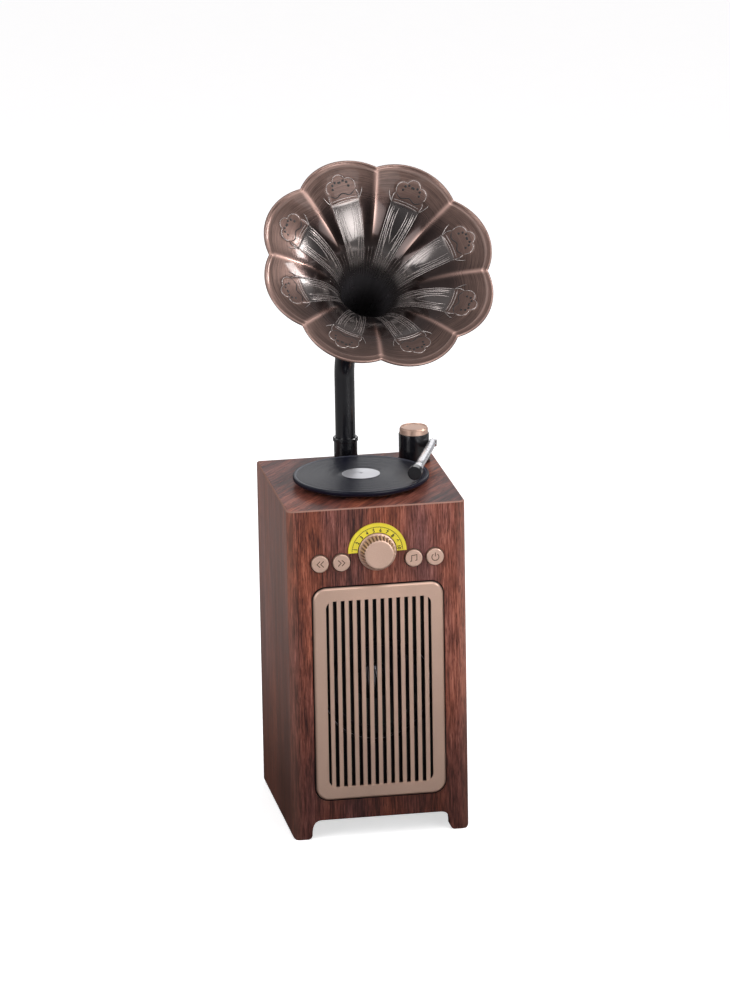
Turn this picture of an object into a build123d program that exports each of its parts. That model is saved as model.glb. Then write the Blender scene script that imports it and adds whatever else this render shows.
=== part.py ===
from build123d import *
import os
from math import asin, cos, exp, radians, sin

# Horn loudspeaker. Millimetres, +Z up, the front faces -Y.
# The origin is on the floor, under the middle of the box.

# ---------------------------------------------------------------- driving dimensions

# Box
cabinet_width = 116.0
cabinet_depth = 124.0
cabinet_height = 221.6
board = 9.0                     # front, side, top and bottom boards
back_thickness = 6.0
back_inset = 1.0                # back board inside the rear edges
board_gap = 0.2                 # around the back board
corner_radius = 5.0             # upright front edges
rear_radius = 2.0
back_screw_inset = 4.5          # back board's screws inside its edges
top_chamfer = 0.8
arch_height = 12.6
foot_width = 12.5
arch_flare = 6.6                # how far the arch leans in from each foot
foot_radius = 3.0

# Grille
grille_side_margin = 15.5       # box edge to grille
grille_top_margin = 52.2
grille_bottom_margin = 26.3
grille_thickness = 4.5
grille_proud = 2.0
grille_radius = 8.5
grille_bevel = 1.3
grille_border = 8.25
grille_end_border = 8.8
opening_radius = 5.0
bar_width = 2.66
bar_pitch = 5.17
bar_setback = 0.4
recess_gap = 0.8
bar_seat = 0.5                  # bars' ends let into the frame

# Driver
driver_radius = 39.0
flange_width = 3.7              # rim outside the surround
opening_lip = 1.0               # front board hole wider than the surround
flange_thickness = 1.5
gasket_thickness = 1.0
basket_depth = 20.0
roll_radius = 3.0
cone_depth = 12.0
coil_radius = 10.0
magnet_radius = 24.0
magnet_thickness = 9.0
plate_thickness = 3.0
screw_inset = 2.1               # driver's screws inside its rim
surround_sheet = 0.5
surround_lip = 1.5              # surround glued on the cone's rim
surround_rim = 0.8              # surround's flat edge beside its roll
cone_sheet = 0.6
cone_glue = 0.3                 # cone's rim and foot past their seats
dome_height = 4.5
dome_sheet = 0.5
cap_overlap = 2.6               # dust cap wider than the coil
former_wall = 0.4               # voice coil, and the gap inside it
pole_gap = 0.6                  # coil to front plate
coil_overhang = 2.0             # coil behind the front plate
spider_drop = 2.4
spider_inset = 6.0
basket_slant = 1.2              # basket's cone outside its front hole
basket_window = (12.0, 18.0)
window_inset = 3.0              # windows behind the flange and inside the cone
window_stop = 8.0               # windows short of the basket's depth

# Controls
knob_drop = 29.9                # knob centre below the box top
button_drop = 35.6
button_inner = 23.5             # inner buttons beside the knob's axis
button_spacing = 0.55           # between neighbouring button flanges
button_radius = 5.6
button_gap = 0.6
button_proud = 2.2
button_travel = 1.0
button_flange = 1.2
button_catch = 0.5              # flange wider than the hole in the wall
control_wall = 4.0              # front board left in front of the controls
pocket_margin = 2.85            # pocket beyond the outer button flanges
pocket_height = 26.0
board_sheet = 1.6               # circuit boards
switch_side = 6.0
switch_height = 2.4
control_board_gap = 2.2         # spacers behind the front board
dial_outer = 19.0
dial_inner = 12.8
dial_thickness = 1.0
dial_rim_width = 1.8
dial_rim_height = 0.3
bush_radius = 3.5
encoder_side = 12.0
encoder_gap = 0.3               # encoder behind the wall
encoder_floor = 1.0             # shaft's seat in the encoder
bush_lip = 0.8                  # bush in front of its nut
nut_flat_radius = 5.5
nut_thickness = 1.8
shaft_radius = 3.0
knob_base_radius = 12.3
knob_face_radius = 9.9
knob_length = 8.2
knob_flange = 1.4
knob_gap = 0.4
knob_top = 1.6                  # solid end of the knob
knob_recess = 1.0               # room round the nut
knob_edge = 0.4
knob_step = 0.8                 # fluted part inside the flange
button_edge = 0.6
stem_radius = 2.0
stem_length = 1.0
plunger_radius = 1.75
flute_count = 28
flute_depth = 0.7
running = 0.05                  # radial clearance of a shaft in its bore

# Turntable
record_front_margin = 12.0
record_neck_gap = 5.3
record_thickness = 3.4
record_rim = 0.5
record_slope = (1.6, 1.0)       # in and up at the record's lower edge
rim_band = (2.2, 2.6)           # raised band inside the rim
label_band = (0.5, 0.8)         # raised ring round the label
field_drop = 0.3                # grooved field below the bands
label_radius = 12.3
label_thickness = 0.3
label_proud = 0.1
record_overhang = 3.2           # record wider than the platter
platter_slope = (2.0, 0.8)      # in and down at the platter's rim
platter_thickness = 1.6
platter_rise = 1.4              # above the box top
spindle_radius = 1.5
spindle_bush_radius = 4.0
spindle_flange_radius = 6.5
spindle_flange = 0.9
motor_radius = 12.0
motor_height = 14.0
motor_drop = 3.1                # below the top board
bracket_thickness = 1.5
bracket_reach = 9.0             # bracket beyond the motor
bracket_foot = 8.0
bracket_share = 0.7             # bracket's half width in motor radii
spindle_drop = 1.0              # spindle below the record's face

# Tonearm
post_rear_margin = 24.0
post_radius = 10.0
post_base_radius = 10.6
post_base_height = 3.0
post_height = 19.2
cap_radius = 9.35
cap_height = 4.2
cap_lip = 0.5
slip = 0.1                      # flat gap between pieces that turn on each other
axle_radius = 2.5
axle_nut_radius = 6.0
axle_nut_thickness = 3.0
axle_tail = 1.0                 # axle below its nut
axle_cover = 3.0                # turret above the axle
post_edge = 0.5
arm_height = 12.6               # arm line above the box top
arm_toe = 19.6                  # degrees inwards from straight ahead
arm_offset = 12.3               # arm line beside the pillar axis
arm_reach = 70.6
arm_width = 4.0
arm_thickness = 3.0
arm_eye_radius = 2.9
arm_pin_radius = 1.5
arm_pin_depth = 4.5             # pin let into the turret
arm_pin_head = (2.4, 0.8)       # radius and thickness
arm_pin_end = 0.6               # pin beyond the arm's eye
eye_trim = 0.2
press = 0.02                    # radial clearance of pressed rings and pins
ferrule_width = 6.0
ferrule_thickness = 4.2
ferrule_length = 9.0
head_radius = 4.5
head_length = 6.0
head_rim = 0.4
stylus_radius = 0.5
stylus_gap = 0.35               # above the record

# Neck and horn
neck_rear_margin = 10.0
socket_wall = 1.05
socket_height = 12.6
socket_floor = 3.0
ring_proud = 0.6                # ring wider than the socket
ring_height = 2.8
ring_edge = (0.4, 0.5)
socket_clearance = 0.3          # tube's end above the socket's floor
tube_radius = 6.6
tube_wall = 1.2
elbow_height = 69.7             # corner of the tube's centre line above the box top
elbow_radius = 30.0
horn_rise = 42.9                # degrees above level
horn_turn = 5.2                 # degrees towards +X
rim_distance = 125.0            # elbow corner to rim plane
bell_depth = 88.0
petals = 8
first_crease = 80.0             # degrees round the horn
notch_radius = 70.75
petal_radius = 77.0
throat_radius = 9.2
flare_length = 22.0
petal_fade = 34.0
sheet_across = 0.6              # wall measured across the horn
sheet_along = 0.8               # wall measured along the horn
coupling_wall = 1.4
coupling_edge = 1.5
coupling_lip = (0.4, 0.8)
coupling_grip = 7.0             # length over the throat and over the tube
neck_bolt_radius = 2.5
neck_bolt_head = 3.0
washer_radius = 7.0
washer_thickness = 1.0
neck_bolt_ledge = 2.0           # head wider than the shank
notch_depth = 5.0               # back board's notch round the bolt

# Rear connections and battery
port_width = 60.0
port_height = 20.0
port_drop = 4.6                 # port plate's lower edge below the main board
port_lap = (9.0, 1.8)           # port plate beyond the opening behind it, across and up
port_screw_inset = 4.0
port_radius = 2.0
port_gap = 0.2                  # round each socket
socket_wall_thickness = 0.5
jack_radius = 1.8
standoff_inset = 4.0
port_thickness = 1.0
main_board_width = 56.0
main_board_depth = 42.0
main_board_lift = 10.0
socket_overlap = 7.0            # sockets standing on the main board
cell_radius = 9.0
cell_length = 65.0
cell_setback = 24.0             # behind the front board
holder_wall = 1.6
holder_end = 0.5                # beyond each end of the cell
holder_side = 0.1
radio_module = (13.0, 18.0, 2.4)
amplifier = (10.0, 8.0, 1.8)
chip_setback = 13.0
radio_x = -12.0
amplifier_x = 10.0

# Fasteners
batten_side = 9.0
screw_radius = 1.4
screw_head_radius = 2.8
screw_head_height = 1.8
driver_head_radius = 1.9        # small heads, to clear the driver's rim
pan_head_radius = 2.6
port_head = (2.4, 0.5)          # radius and height
screw_end = 0.3                 # short of the end of its hole
board_margin = (3.0, 6.0)       # control board inside and beyond the pocket
board_screw_inset = (8.5, 3.0)

# ---------------------------------------------------------------- places worked out from them

half_width = cabinet_width / 2
front = -cabinet_depth / 2
rear = cabinet_depth / 2
front_inside = front + board
under_top = cabinet_height - board
floor_inside = arch_height + board
back_outside = rear - back_inset
back_inside = back_outside - back_thickness

grille_width = cabinet_width - 2 * grille_side_margin
grille_height = cabinet_height - grille_top_margin - grille_bottom_margin
driver_z = grille_bottom_margin + grille_height / 2
recess_depth = grille_thickness - grille_proud
knob_z = cabinet_height - knob_drop
button_z = cabinet_height - button_drop
button_flange_radius = button_radius + button_gap + button_catch
button_outer = button_inner + 2 * button_flange_radius + button_spacing
button_places = {
    "previous": -button_outer,
    "next": -button_inner,
    "mode": button_inner,
    "power": button_outer,
}
pocket_width = 2 * (button_outer + button_flange_radius + pocket_margin)
wall_back = front + control_wall
control_board_y = front_inside + control_board_gap
knob_back = front - knob_gap
knob_face = knob_back - knob_length

neck_y = rear - neck_rear_margin
socket_radius = tube_radius + running + socket_wall
ring_radius = socket_radius + ring_proud
record_front = front + record_front_margin
record_rear = neck_y - ring_radius - record_neck_gap
record_radius = (record_rear - record_front) / 2
record_y = (record_rear + record_front) / 2
platter_radius = record_radius - record_overhang
platter_z = cabinet_height + platter_rise
record_z = platter_z + platter_thickness
record_top = record_z + record_thickness
motor_top = under_top - motor_drop

post_x = half_width - board - axle_nut_radius
post_y = rear - post_rear_margin
post_z = cabinet_height + post_base_height
post_top = post_z + slip + post_height - post_base_height
arm_z = cabinet_height + arm_height

elbow_z = cabinet_height + elbow_height
bell_start = rim_distance - bell_depth
main_board_z = floor_inside + main_board_lift
port_rise = main_board_z - port_drop
driver_back = front_inside + gasket_thickness


def facing(y):
    """Upright plane at depth y, its normal to the front, x to the right and y up."""
    return Plane.XZ.offset(-y)


def upright(x, y):
    """Section plane through the vertical line at x, y: (radius, height)."""
    return Plane(origin=(x, y, 0), x_dir=(1, 0, 0), z_dir=(0, -1, 0))


def vertical(x, y):
    """The vertical line at x, y."""
    return Axis((x, y, 0), (0, 0, 1))


def along(z):
    """Section plane through the level line at height z that runs to the back: (y, radius)."""
    return Plane(origin=(0, 0, z), x_dir=(0, 1, 0), z_dir=(1, 0, 0))


def level(z):
    """The line at height z that runs from front to back."""
    return Axis((0, 0, z), (0, 1, 0))


# ---------------------------------------------------------------- box

surround_outer = driver_radius - flange_width - surround_rim
cone_opening = surround_outer + opening_lip
driver_screw_circle = driver_radius - screw_inset
grille_reach = grille_width / 2 + recess_gap
grille_low = grille_bottom_margin - recess_gap
grille_high = grille_bottom_margin + grille_height + recess_gap
corner_x = half_width - corner_radius
corner_y = front + corner_radius
arch_foot = half_width - foot_width
arch_top = arch_foot - arch_flare
screw_spots = [
    (side * driver_screw_circle * cos(radians(45)), driver_z + lift * driver_screw_circle * sin(radians(45)))
    for side in (-1, 1)
    for lift in (-1, 1)
]

with BuildPart() as front_board:
    with BuildSketch():
        with BuildLine():
            Polyline((half_width, front_inside), (-half_width, front_inside), (-half_width, corner_y))
            RadiusArc((-half_width, corner_y), (-corner_x, front), -corner_radius)
            Line((-corner_x, front), (corner_x, front))
            RadiusArc((corner_x, front), (half_width, corner_y), -corner_radius)
            Line((half_width, corner_y), (half_width, front_inside))
        make_face()
    extrude(amount=under_top)
    with BuildSketch(facing(front_inside)):
        with BuildLine():
            Polyline((half_width, foot_radius), (half_width, under_top), (-half_width, under_top),
                     (-half_width, foot_radius))
            RadiusArc((-half_width, foot_radius), (-half_width + foot_radius, 0), -foot_radius)
            Line((-half_width + foot_radius, 0), (-arch_foot - foot_radius, 0))
            RadiusArc((-arch_foot - foot_radius, 0), (-arch_foot, foot_radius), -foot_radius)
            Spline((-arch_foot, foot_radius), (-arch_top, arch_height), tangents=[(0, 1), (1, 0)])
            Line((-arch_top, arch_height), (arch_top, arch_height))
            Spline((arch_top, arch_height), (arch_foot, foot_radius), tangents=[(1, 0), (0, -1)])
            RadiusArc((arch_foot, foot_radius), (arch_foot + foot_radius, 0), -foot_radius)
            Line((arch_foot + foot_radius, 0), (half_width - foot_radius, 0))
            RadiusArc((half_width - foot_radius, 0), (half_width, foot_radius), -foot_radius)
        make_face()
    extrude(amount=board, mode=Mode.INTERSECT)
    with BuildSketch(facing(front)):
        with Locations((0, driver_z)):
            RectangleRounded(2 * grille_reach, grille_high - grille_low, grille_radius + recess_gap)
    extrude(amount=-recess_depth, mode=Mode.SUBTRACT)
    with BuildSketch(facing(front)):
        with Locations((0, driver_z)):
            Circle(cone_opening)
    extrude(amount=-board, mode=Mode.SUBTRACT)
    with BuildSketch(facing(front_inside)):
        with Locations((0, button_z)):
            RectangleRounded(pocket_width, pocket_height, foot_radius)
    extrude(amount=board - control_wall, mode=Mode.SUBTRACT)
    with BuildSketch(facing(front)):
        with Locations(*[(x, button_z) for x in button_places.values()]):
            Circle(button_radius + button_gap)
        with Locations((0, knob_z)):
            Circle(bush_radius + running)
    extrude(amount=-control_wall, mode=Mode.SUBTRACT)
    with BuildSketch(facing(front_inside)):
        with Locations(*screw_spots):
            Circle(screw_radius)
    extrude(amount=board / 2, mode=Mode.SUBTRACT)

side_boards = {}
for side_name, side in (("left_board", -1), ("right_board", 1)):
    with BuildPart() as side_board:
        with BuildSketch(facing(front_inside)):
            with BuildLine():
                Polyline((side * (half_width - board), 0), (side * (half_width - board), under_top),
                         (side * half_width, under_top), (side * half_width, foot_radius))
                RadiusArc((side * half_width, foot_radius), (side * (half_width - foot_radius), 0),
                          side * foot_radius)
                Line((side * (half_width - foot_radius), 0), (side * (half_width - board), 0))
            make_face()
        extrude(amount=-(rear - front_inside))
        rear_edges = side_board.edges().filter_by(Axis.Z).group_by(Axis.Y)[-1].sort_by(Axis.X)
        fillet(rear_edges[-1 if side > 0 else 0], rear_radius)
    side_boards[side_name] = side_board

with BuildPart() as top_board:
    with BuildSketch(Plane.XY.offset(under_top)) as lid_plan:
        Rectangle(cabinet_width, cabinet_depth)
        fillet(lid_plan.vertices().group_by(Axis.Y)[0], corner_radius)
        fillet(lid_plan.vertices().group_by(Axis.Y)[-1], rear_radius)
    extrude(amount=board)
    chamfer(top_board.faces().sort_by(Axis.Z)[-1].outer_wire().edges(), top_chamfer)
    with BuildSketch(Plane.XY.offset(under_top)):
        with Locations((0, record_y)):
            Circle(spindle_bush_radius + running)
        with Locations((post_x, post_y)):
            Circle(axle_radius + running)
        with Locations((0, neck_y)):
            Circle(neck_bolt_radius + running)
    extrude(amount=board, mode=Mode.SUBTRACT)

back_half = half_width - board - board_gap
back_low = arch_height + board_gap
back_high = under_top - board_gap
back_screw_spots = [
    (side * (back_half - back_screw_inset), z)
    for side in (-1, 1)
    for z in (back_low + back_screw_inset, (back_low + back_high) / 2, back_high - back_screw_inset)
]

port_spots = [(side * (port_width / 2 - port_screw_inset), port_rise + port_height / 2) for side in (-1, 1)]

with BuildPart() as back_board:
    with BuildSketch(facing(back_outside)):
        with Locations((0, (back_low + back_high) / 2)):
            Rectangle(2 * back_half, back_high - back_low)
        with Locations((0, port_rise + port_height / 2)):
            Rectangle(port_width - 2 * port_lap[0], port_height - 2 * port_lap[1], mode=Mode.SUBTRACT)
        with Locations(*back_screw_spots, *port_spots):
            Circle(screw_radius + running, mode=Mode.SUBTRACT)
    extrude(amount=back_thickness)
    # notch for the neck's bolt and washer
    with BuildSketch(Plane.XY.offset(under_top)):
        with Locations((0, neck_y)):
            Circle(washer_radius + board_gap)
    extrude(amount=-notch_depth, mode=Mode.SUBTRACT)

with BuildPart() as bottom_board:
    with BuildSketch(Plane.XY.offset(arch_height)):
        with Locations((0, (front_inside + back_inside) / 2)):
            Rectangle(cabinet_width - 2 * board, back_inside - front_inside)
    extrude(amount=board)
    with BuildSketch(facing(back_inside)):
        with Locations(*back_screw_spots):
            Circle(screw_radius + running)
    extrude(amount=batten_side, mode=Mode.SUBTRACT)

# Battens inside the upright corners, which the back board's screws bite into
with BuildPart() as back_battens:
    for side in (-1, 1):
        with BuildSketch(Plane.XY.offset(floor_inside)):
            with Locations((side * (half_width - board - batten_side / 2), back_inside - batten_side / 2)):
                Rectangle(batten_side, batten_side)
        extrude(amount=under_top - floor_inside)
    with BuildSketch(facing(back_inside)):
        with Locations(*back_screw_spots):
            Circle(screw_radius + running)
    extrude(amount=batten_side, mode=Mode.SUBTRACT)

with BuildPart() as back_screws:
    with BuildSketch(facing(back_outside)):
        with Locations(*back_screw_spots):
            Circle(screw_head_radius)
    extrude(amount=-back_inset / 2)
    with BuildSketch(facing(back_outside)):
        with Locations(*back_screw_spots):
            Circle(screw_radius)
    extrude(amount=back_thickness + batten_side / 2)

# ---------------------------------------------------------------- grille

opening_width = grille_width - 2 * grille_border
opening_height = grille_height - 2 * grille_end_border
bar_count = int(opening_width / bar_pitch)

with BuildPart() as grille:
    with BuildSketch(facing(front + recess_depth)):
        with Locations((0, driver_z)):
            RectangleRounded(grille_width, grille_height, grille_radius)
    extrude(amount=grille_thickness)
    chamfer(grille.faces().sort_by(Axis.Y)[0].outer_wire().edges(), grille_bevel)
    with BuildSketch(facing(front + recess_depth)):
        with Locations((0, driver_z)):
            RectangleRounded(opening_width, opening_height, opening_radius)
    extrude(amount=grille_thickness, mode=Mode.SUBTRACT)
    with BuildSketch(facing(front + recess_depth)):
        with Locations((0, driver_z)):
            with GridLocations(bar_pitch, 1, bar_count, 1):
                Rectangle(bar_width, opening_height + 2 * bar_seat)
    extrude(amount=grille_thickness - bar_setback)

# ---------------------------------------------------------------- loudspeaker driver

flange_back = driver_back + flange_thickness
flange_hole = surround_outer - surround_lip
basket_end = driver_back + basket_depth
basket_floor = basket_end - flange_thickness
basket_foot = magnet_radius - coil_overhang
coil_bore = coil_radius - former_wall
gap_outer = coil_radius + pole_gap
pole_radius = coil_bore - former_wall

with BuildPart() as speaker_gasket:
    with BuildSketch(facing(driver_back)):
        with Locations((0, driver_z)):
            Circle(driver_radius)
            Circle(surround_outer + surround_rim, mode=Mode.SUBTRACT)
        with Locations(*screw_spots):
            Circle(screw_radius + running, mode=Mode.SUBTRACT)
    extrude(amount=gasket_thickness)

with BuildPart() as speaker_basket:
    with BuildSketch(along(driver_z)):
        Polygon(
            (driver_back, flange_hole), (driver_back, driver_radius), (flange_back, driver_radius),
            (flange_back, flange_hole + basket_slant), (basket_floor, basket_foot),
            (basket_end, basket_foot), (basket_end, gap_outer + former_wall),
            (basket_floor, gap_outer + former_wall), (basket_floor, basket_foot - coil_overhang),
            align=None,
        )
    revolve(axis=level(driver_z))
    # four windows in the cone of the basket
    with BuildSketch(facing(flange_back + window_inset)):
        with Locations((0, driver_z)):
            with PolarLocations(flange_hole - window_inset, 4):
                Rectangle(*basket_window)
    extrude(amount=-(basket_depth - window_stop), mode=Mode.SUBTRACT)
    with BuildSketch(facing(driver_back)):
        with Locations(*screw_spots):
            Circle(screw_radius + running)
    extrude(amount=-flange_thickness, mode=Mode.SUBTRACT)

roll_centre = surround_outer - roll_radius - surround_rim
roll_edge = roll_centre + roll_radius
surround_edge = surround_outer + surround_sheet
cone_edge = roll_centre - roll_radius
lip_edge = cone_edge - surround_lip
cone_rim = cone_edge + cone_glue
cone_seat = coil_radius + running
surround_y = driver_back - surround_sheet

with BuildPart() as speaker_surround:
    with BuildSketch(along(driver_z)):
        with BuildLine():
            Polyline((driver_back, lip_edge), (surround_y, lip_edge), (surround_y, cone_edge))
            ThreePointArc((surround_y, cone_edge), (surround_y - roll_radius, roll_centre),
                          (surround_y, roll_edge))
            Polyline((surround_y, roll_edge), (surround_y, surround_edge), (driver_back, surround_edge),
                     (driver_back, roll_edge - surround_sheet))
            ThreePointArc((driver_back, roll_edge - surround_sheet),
                          (surround_y - roll_radius + surround_sheet, roll_centre),
                          (driver_back, cone_edge + surround_sheet))
            Line((driver_back, cone_edge + surround_sheet), (driver_back, lip_edge))
        make_face()
    revolve(axis=level(driver_z))

cone_end = driver_back + cone_depth
cap_seat = coil_radius + cap_overlap

with BuildPart() as speaker_cone:
    with BuildSketch(along(driver_z)):
        Polygon(
            (driver_back, lip_edge), (driver_back, cone_rim), (driver_back + cone_sheet, cone_rim),
            (cone_end + cone_sheet, cap_seat + cone_glue), (cone_end + cone_sheet, cone_seat),
            (cone_end, cone_seat), (cone_end, cap_seat),
            align=None,
        )
    revolve(axis=level(driver_z))

dome_edge = cap_seat - former_wall
dome_radius = (dome_edge ** 2 + dome_height ** 2) / (2 * dome_height)
dome_centre = cone_end - running - dome_height + dome_radius
half_span = asin(dome_edge / dome_radius) / 2
dome_inner = dome_radius - dome_sheet
inner_edge = (dome_inner ** 2 - (dome_radius - dome_height) ** 2) ** 0.5
inner_half = asin(inner_edge / dome_inner) / 2

with BuildPart() as dust_cap:
    with BuildSketch(along(driver_z)):
        with BuildLine():
            ThreePointArc((cone_end - running, dome_edge),
                          (dome_centre - dome_radius * cos(half_span), dome_radius * sin(half_span)),
                          (dome_centre - dome_radius, 0))
            Line((dome_centre - dome_radius, 0), (dome_centre - dome_inner, 0))
            ThreePointArc((dome_centre - dome_inner, 0),
                          (dome_centre - dome_inner * cos(inner_half), dome_inner * sin(inner_half)),
                          (cone_end - running, inner_edge))
            Line((cone_end - running, inner_edge), (cone_end - running, dome_edge))
        make_face()
    revolve(axis=level(driver_z))

spider_y = basket_end - flange_thickness - spider_drop
spider_outer = magnet_radius - spider_inset
with BuildPart() as spider:
    with BuildSketch(along(driver_z)):
        Polygon(
            (spider_y, coil_radius + running), (spider_y + surround_sheet, coil_radius + running),
            (spider_y + surround_sheet, spider_outer), (basket_end - flange_thickness, spider_outer + 1),
            (basket_end - flange_thickness - surround_sheet, spider_outer + 1), (spider_y, spider_outer),
            align=None,
        )
    revolve(axis=level(driver_z))

coil_end = basket_end + plate_thickness + coil_overhang
with BuildPart() as voice_coil:
    with BuildSketch(facing(coil_end)):
        with Locations((0, driver_z)):
            Circle(coil_radius)
            Circle(coil_bore, mode=Mode.SUBTRACT)
    extrude(amount=coil_end - cone_end)

magnet_front = basket_end + plate_thickness
yoke_y = magnet_front + magnet_thickness
with BuildPart() as speaker_magnet:
    with BuildSketch(facing(magnet_front + magnet_thickness)):
        with Locations((0, driver_z)):
            Circle(magnet_radius)
            Circle(gap_outer + coil_overhang, mode=Mode.SUBTRACT)
    extrude(amount=magnet_thickness)

# Steel ring in front of the magnet, and plate with the pole behind it
with BuildPart() as pole_plates:
    with BuildSketch(facing(magnet_front)):
        with Locations((0, driver_z)):
            Circle(magnet_radius - 1)
            Circle(gap_outer, mode=Mode.SUBTRACT)
    extrude(amount=plate_thickness)
    with BuildSketch(facing(yoke_y + plate_thickness)):
        with Locations((0, driver_z)):
            Circle(magnet_radius - 1)
    extrude(amount=plate_thickness)
    with BuildSketch(facing(yoke_y)):
        with Locations((0, driver_z)):
            Circle(pole_radius)
    extrude(amount=magnet_thickness + plate_thickness)

# ---------------------------------------------------------------- dial, knob and encoder

with BuildPart() as dial_plate:
    with BuildSketch(facing(front)):
        with Locations((0, knob_z)):
            Circle(dial_outer)
            Circle(dial_inner, mode=Mode.SUBTRACT)
        with Locations((0, knob_z - dial_outer)):
            Rectangle(2 * dial_outer, 2 * dial_outer, mode=Mode.SUBTRACT)
    extrude(amount=dial_thickness)
    with BuildSketch(facing(front - dial_thickness)):
        with Locations((0, knob_z)):
            Circle(dial_outer)
            Circle(dial_outer - dial_rim_width, mode=Mode.SUBTRACT)
        with Locations((0, knob_z - dial_outer)):
            Rectangle(2 * dial_outer, 2 * dial_outer, mode=Mode.SUBTRACT)
    extrude(amount=dial_rim_height)

encoder_front = wall_back + encoder_gap
bush_front = front - nut_thickness - bush_lip
shaft_back = encoder_front + encoder_floor

with BuildPart() as encoder:
    with BuildSketch(facing(control_board_y)):
        with Locations((0, knob_z)):
            Rectangle(encoder_side, encoder_side)
    extrude(amount=control_board_y - encoder_front)
    with BuildSketch(facing(encoder_front)):
        with Locations((0, knob_z)):
            Circle(bush_radius)
    extrude(amount=encoder_front - bush_front)
    with BuildSketch(facing(shaft_back + slip)):
        with Locations((0, knob_z)):
            Circle(shaft_radius + running)
    extrude(amount=shaft_back + slip - bush_front, mode=Mode.SUBTRACT)

with BuildPart() as encoder_shaft:
    with BuildSketch(facing(shaft_back)):
        with Locations((0, knob_z)):
            Circle(shaft_radius)
    extrude(amount=shaft_back - (knob_face + knob_top))


def fluted(radius, depth):
    """Corners of a round outline with flat-topped flutes."""
    step = 360 / flute_count
    corners = []
    for i in range(flute_count):
        for share, r in ((-0.34, radius), (0.10, radius), (0.26, radius - depth), (0.50, radius - depth)):
            turn = radians((i + share) * step)
            corners.append((r * cos(turn), r * sin(turn)))
    return corners


with BuildPart() as knob:
    with BuildSketch(facing(knob_back)):
        with Locations((0, knob_z)):
            Circle(knob_base_radius)
    extrude(amount=knob_flange)
    chamfer(knob.faces().sort_by(Axis.Y)[0].edges(), knob_edge)
    with BuildSketch(facing(knob_back - knob_flange)):
        with Locations((0, knob_z)):
            Polygon(*fluted(knob_base_radius - knob_step, flute_depth), align=None)
    with BuildSketch(facing(knob_face)):
        with Locations((0, knob_z)):
            Polygon(*fluted(knob_face_radius, flute_depth), align=None)
    loft(ruled=True)
    with BuildSketch(facing(knob_back)):
        with Locations((0, knob_z)):
            Circle(nut_flat_radius + knob_recess)
    extrude(amount=nut_thickness + knob_recess, mode=Mode.SUBTRACT)
    with BuildSketch(facing(knob_back)):
        with Locations((0, knob_z)):
            Circle(shaft_radius + running)
    extrude(amount=knob_length - knob_top, mode=Mode.SUBTRACT)

# ---------------------------------------------------------------- push buttons and control board

button_face = front - button_proud
flange_front = wall_back + slip
flange_rear = flange_front + button_flange
stem_back = flange_rear + stem_length
switch_front = control_board_y - switch_height
plunger_front = stem_back + button_travel + slip

buttons = {}
for word, x in button_places.items():
    with BuildPart() as button:
        with BuildSketch(facing(flange_front)):
            with Locations((x, button_z)):
                Circle(button_radius)
        extrude(amount=flange_front - button_face)
        fillet(button.faces().sort_by(Axis.Y)[0].edges(), button_edge)
        with BuildSketch(facing(flange_rear)):
            with Locations((x, button_z)):
                Circle(button_flange_radius)
        extrude(amount=button_flange)
        with BuildSketch(facing(stem_back)):
            with Locations((x, button_z)):
                Circle(stem_radius)
        extrude(amount=stem_back - flange_rear)
    buttons[f"button_{word}"] = button

with BuildPart() as push_switches:
    with BuildSketch(facing(control_board_y)):
        with Locations(*[(x, button_z) for x in button_places.values()]):
            Rectangle(switch_side, switch_side)
    extrude(amount=switch_height)
    with BuildSketch(facing(switch_front)):
        with Locations(*[(x, button_z) for x in button_places.values()]):
            Circle(plunger_radius)
    extrude(amount=switch_front - plunger_front)

board_screw_x = pocket_width / 2 - board_screw_inset[0]
board_screw_z = pocket_height / 2 + board_screw_inset[1]
board_spots = [
    (side * board_screw_x, button_z + lift * board_screw_z)
    for side in (-1, 1)
    for lift in (-1, 1)
]
with BuildPart() as control_board:
    with BuildSketch(facing(control_board_y + board_sheet)):
        with Locations((0, button_z)):
            Rectangle(pocket_width - 2 * board_margin[0], pocket_height + 2 * board_margin[1])
        with Locations(*board_spots):
            Circle(screw_radius + running, mode=Mode.SUBTRACT)
    extrude(amount=board_sheet)

# ---------------------------------------------------------------- turntable

with BuildPart() as spindle_bush:
    with BuildSketch(upright(0, record_y)):
        bore = spindle_radius + running
        Polygon(
            (bore, under_top), (spindle_bush_radius, under_top), (spindle_bush_radius, cabinet_height),
            (spindle_flange_radius, cabinet_height), (spindle_flange_radius, cabinet_height + spindle_flange),
            (bore, cabinet_height + spindle_flange),
            align=None,
        )
    revolve(axis=vertical(0, record_y))

with BuildPart() as motor:
    with BuildSketch(Plane.XY.offset(motor_top - motor_height)):
        with Locations((0, record_y)):
            Circle(motor_radius)
    extrude(amount=motor_height)
    with BuildSketch(Plane.XY.offset(motor_top - motor_height / 2)):
        with Locations((0, record_y)):
            Circle(spindle_radius + running)
    extrude(amount=motor_height / 2, mode=Mode.SUBTRACT)

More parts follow.
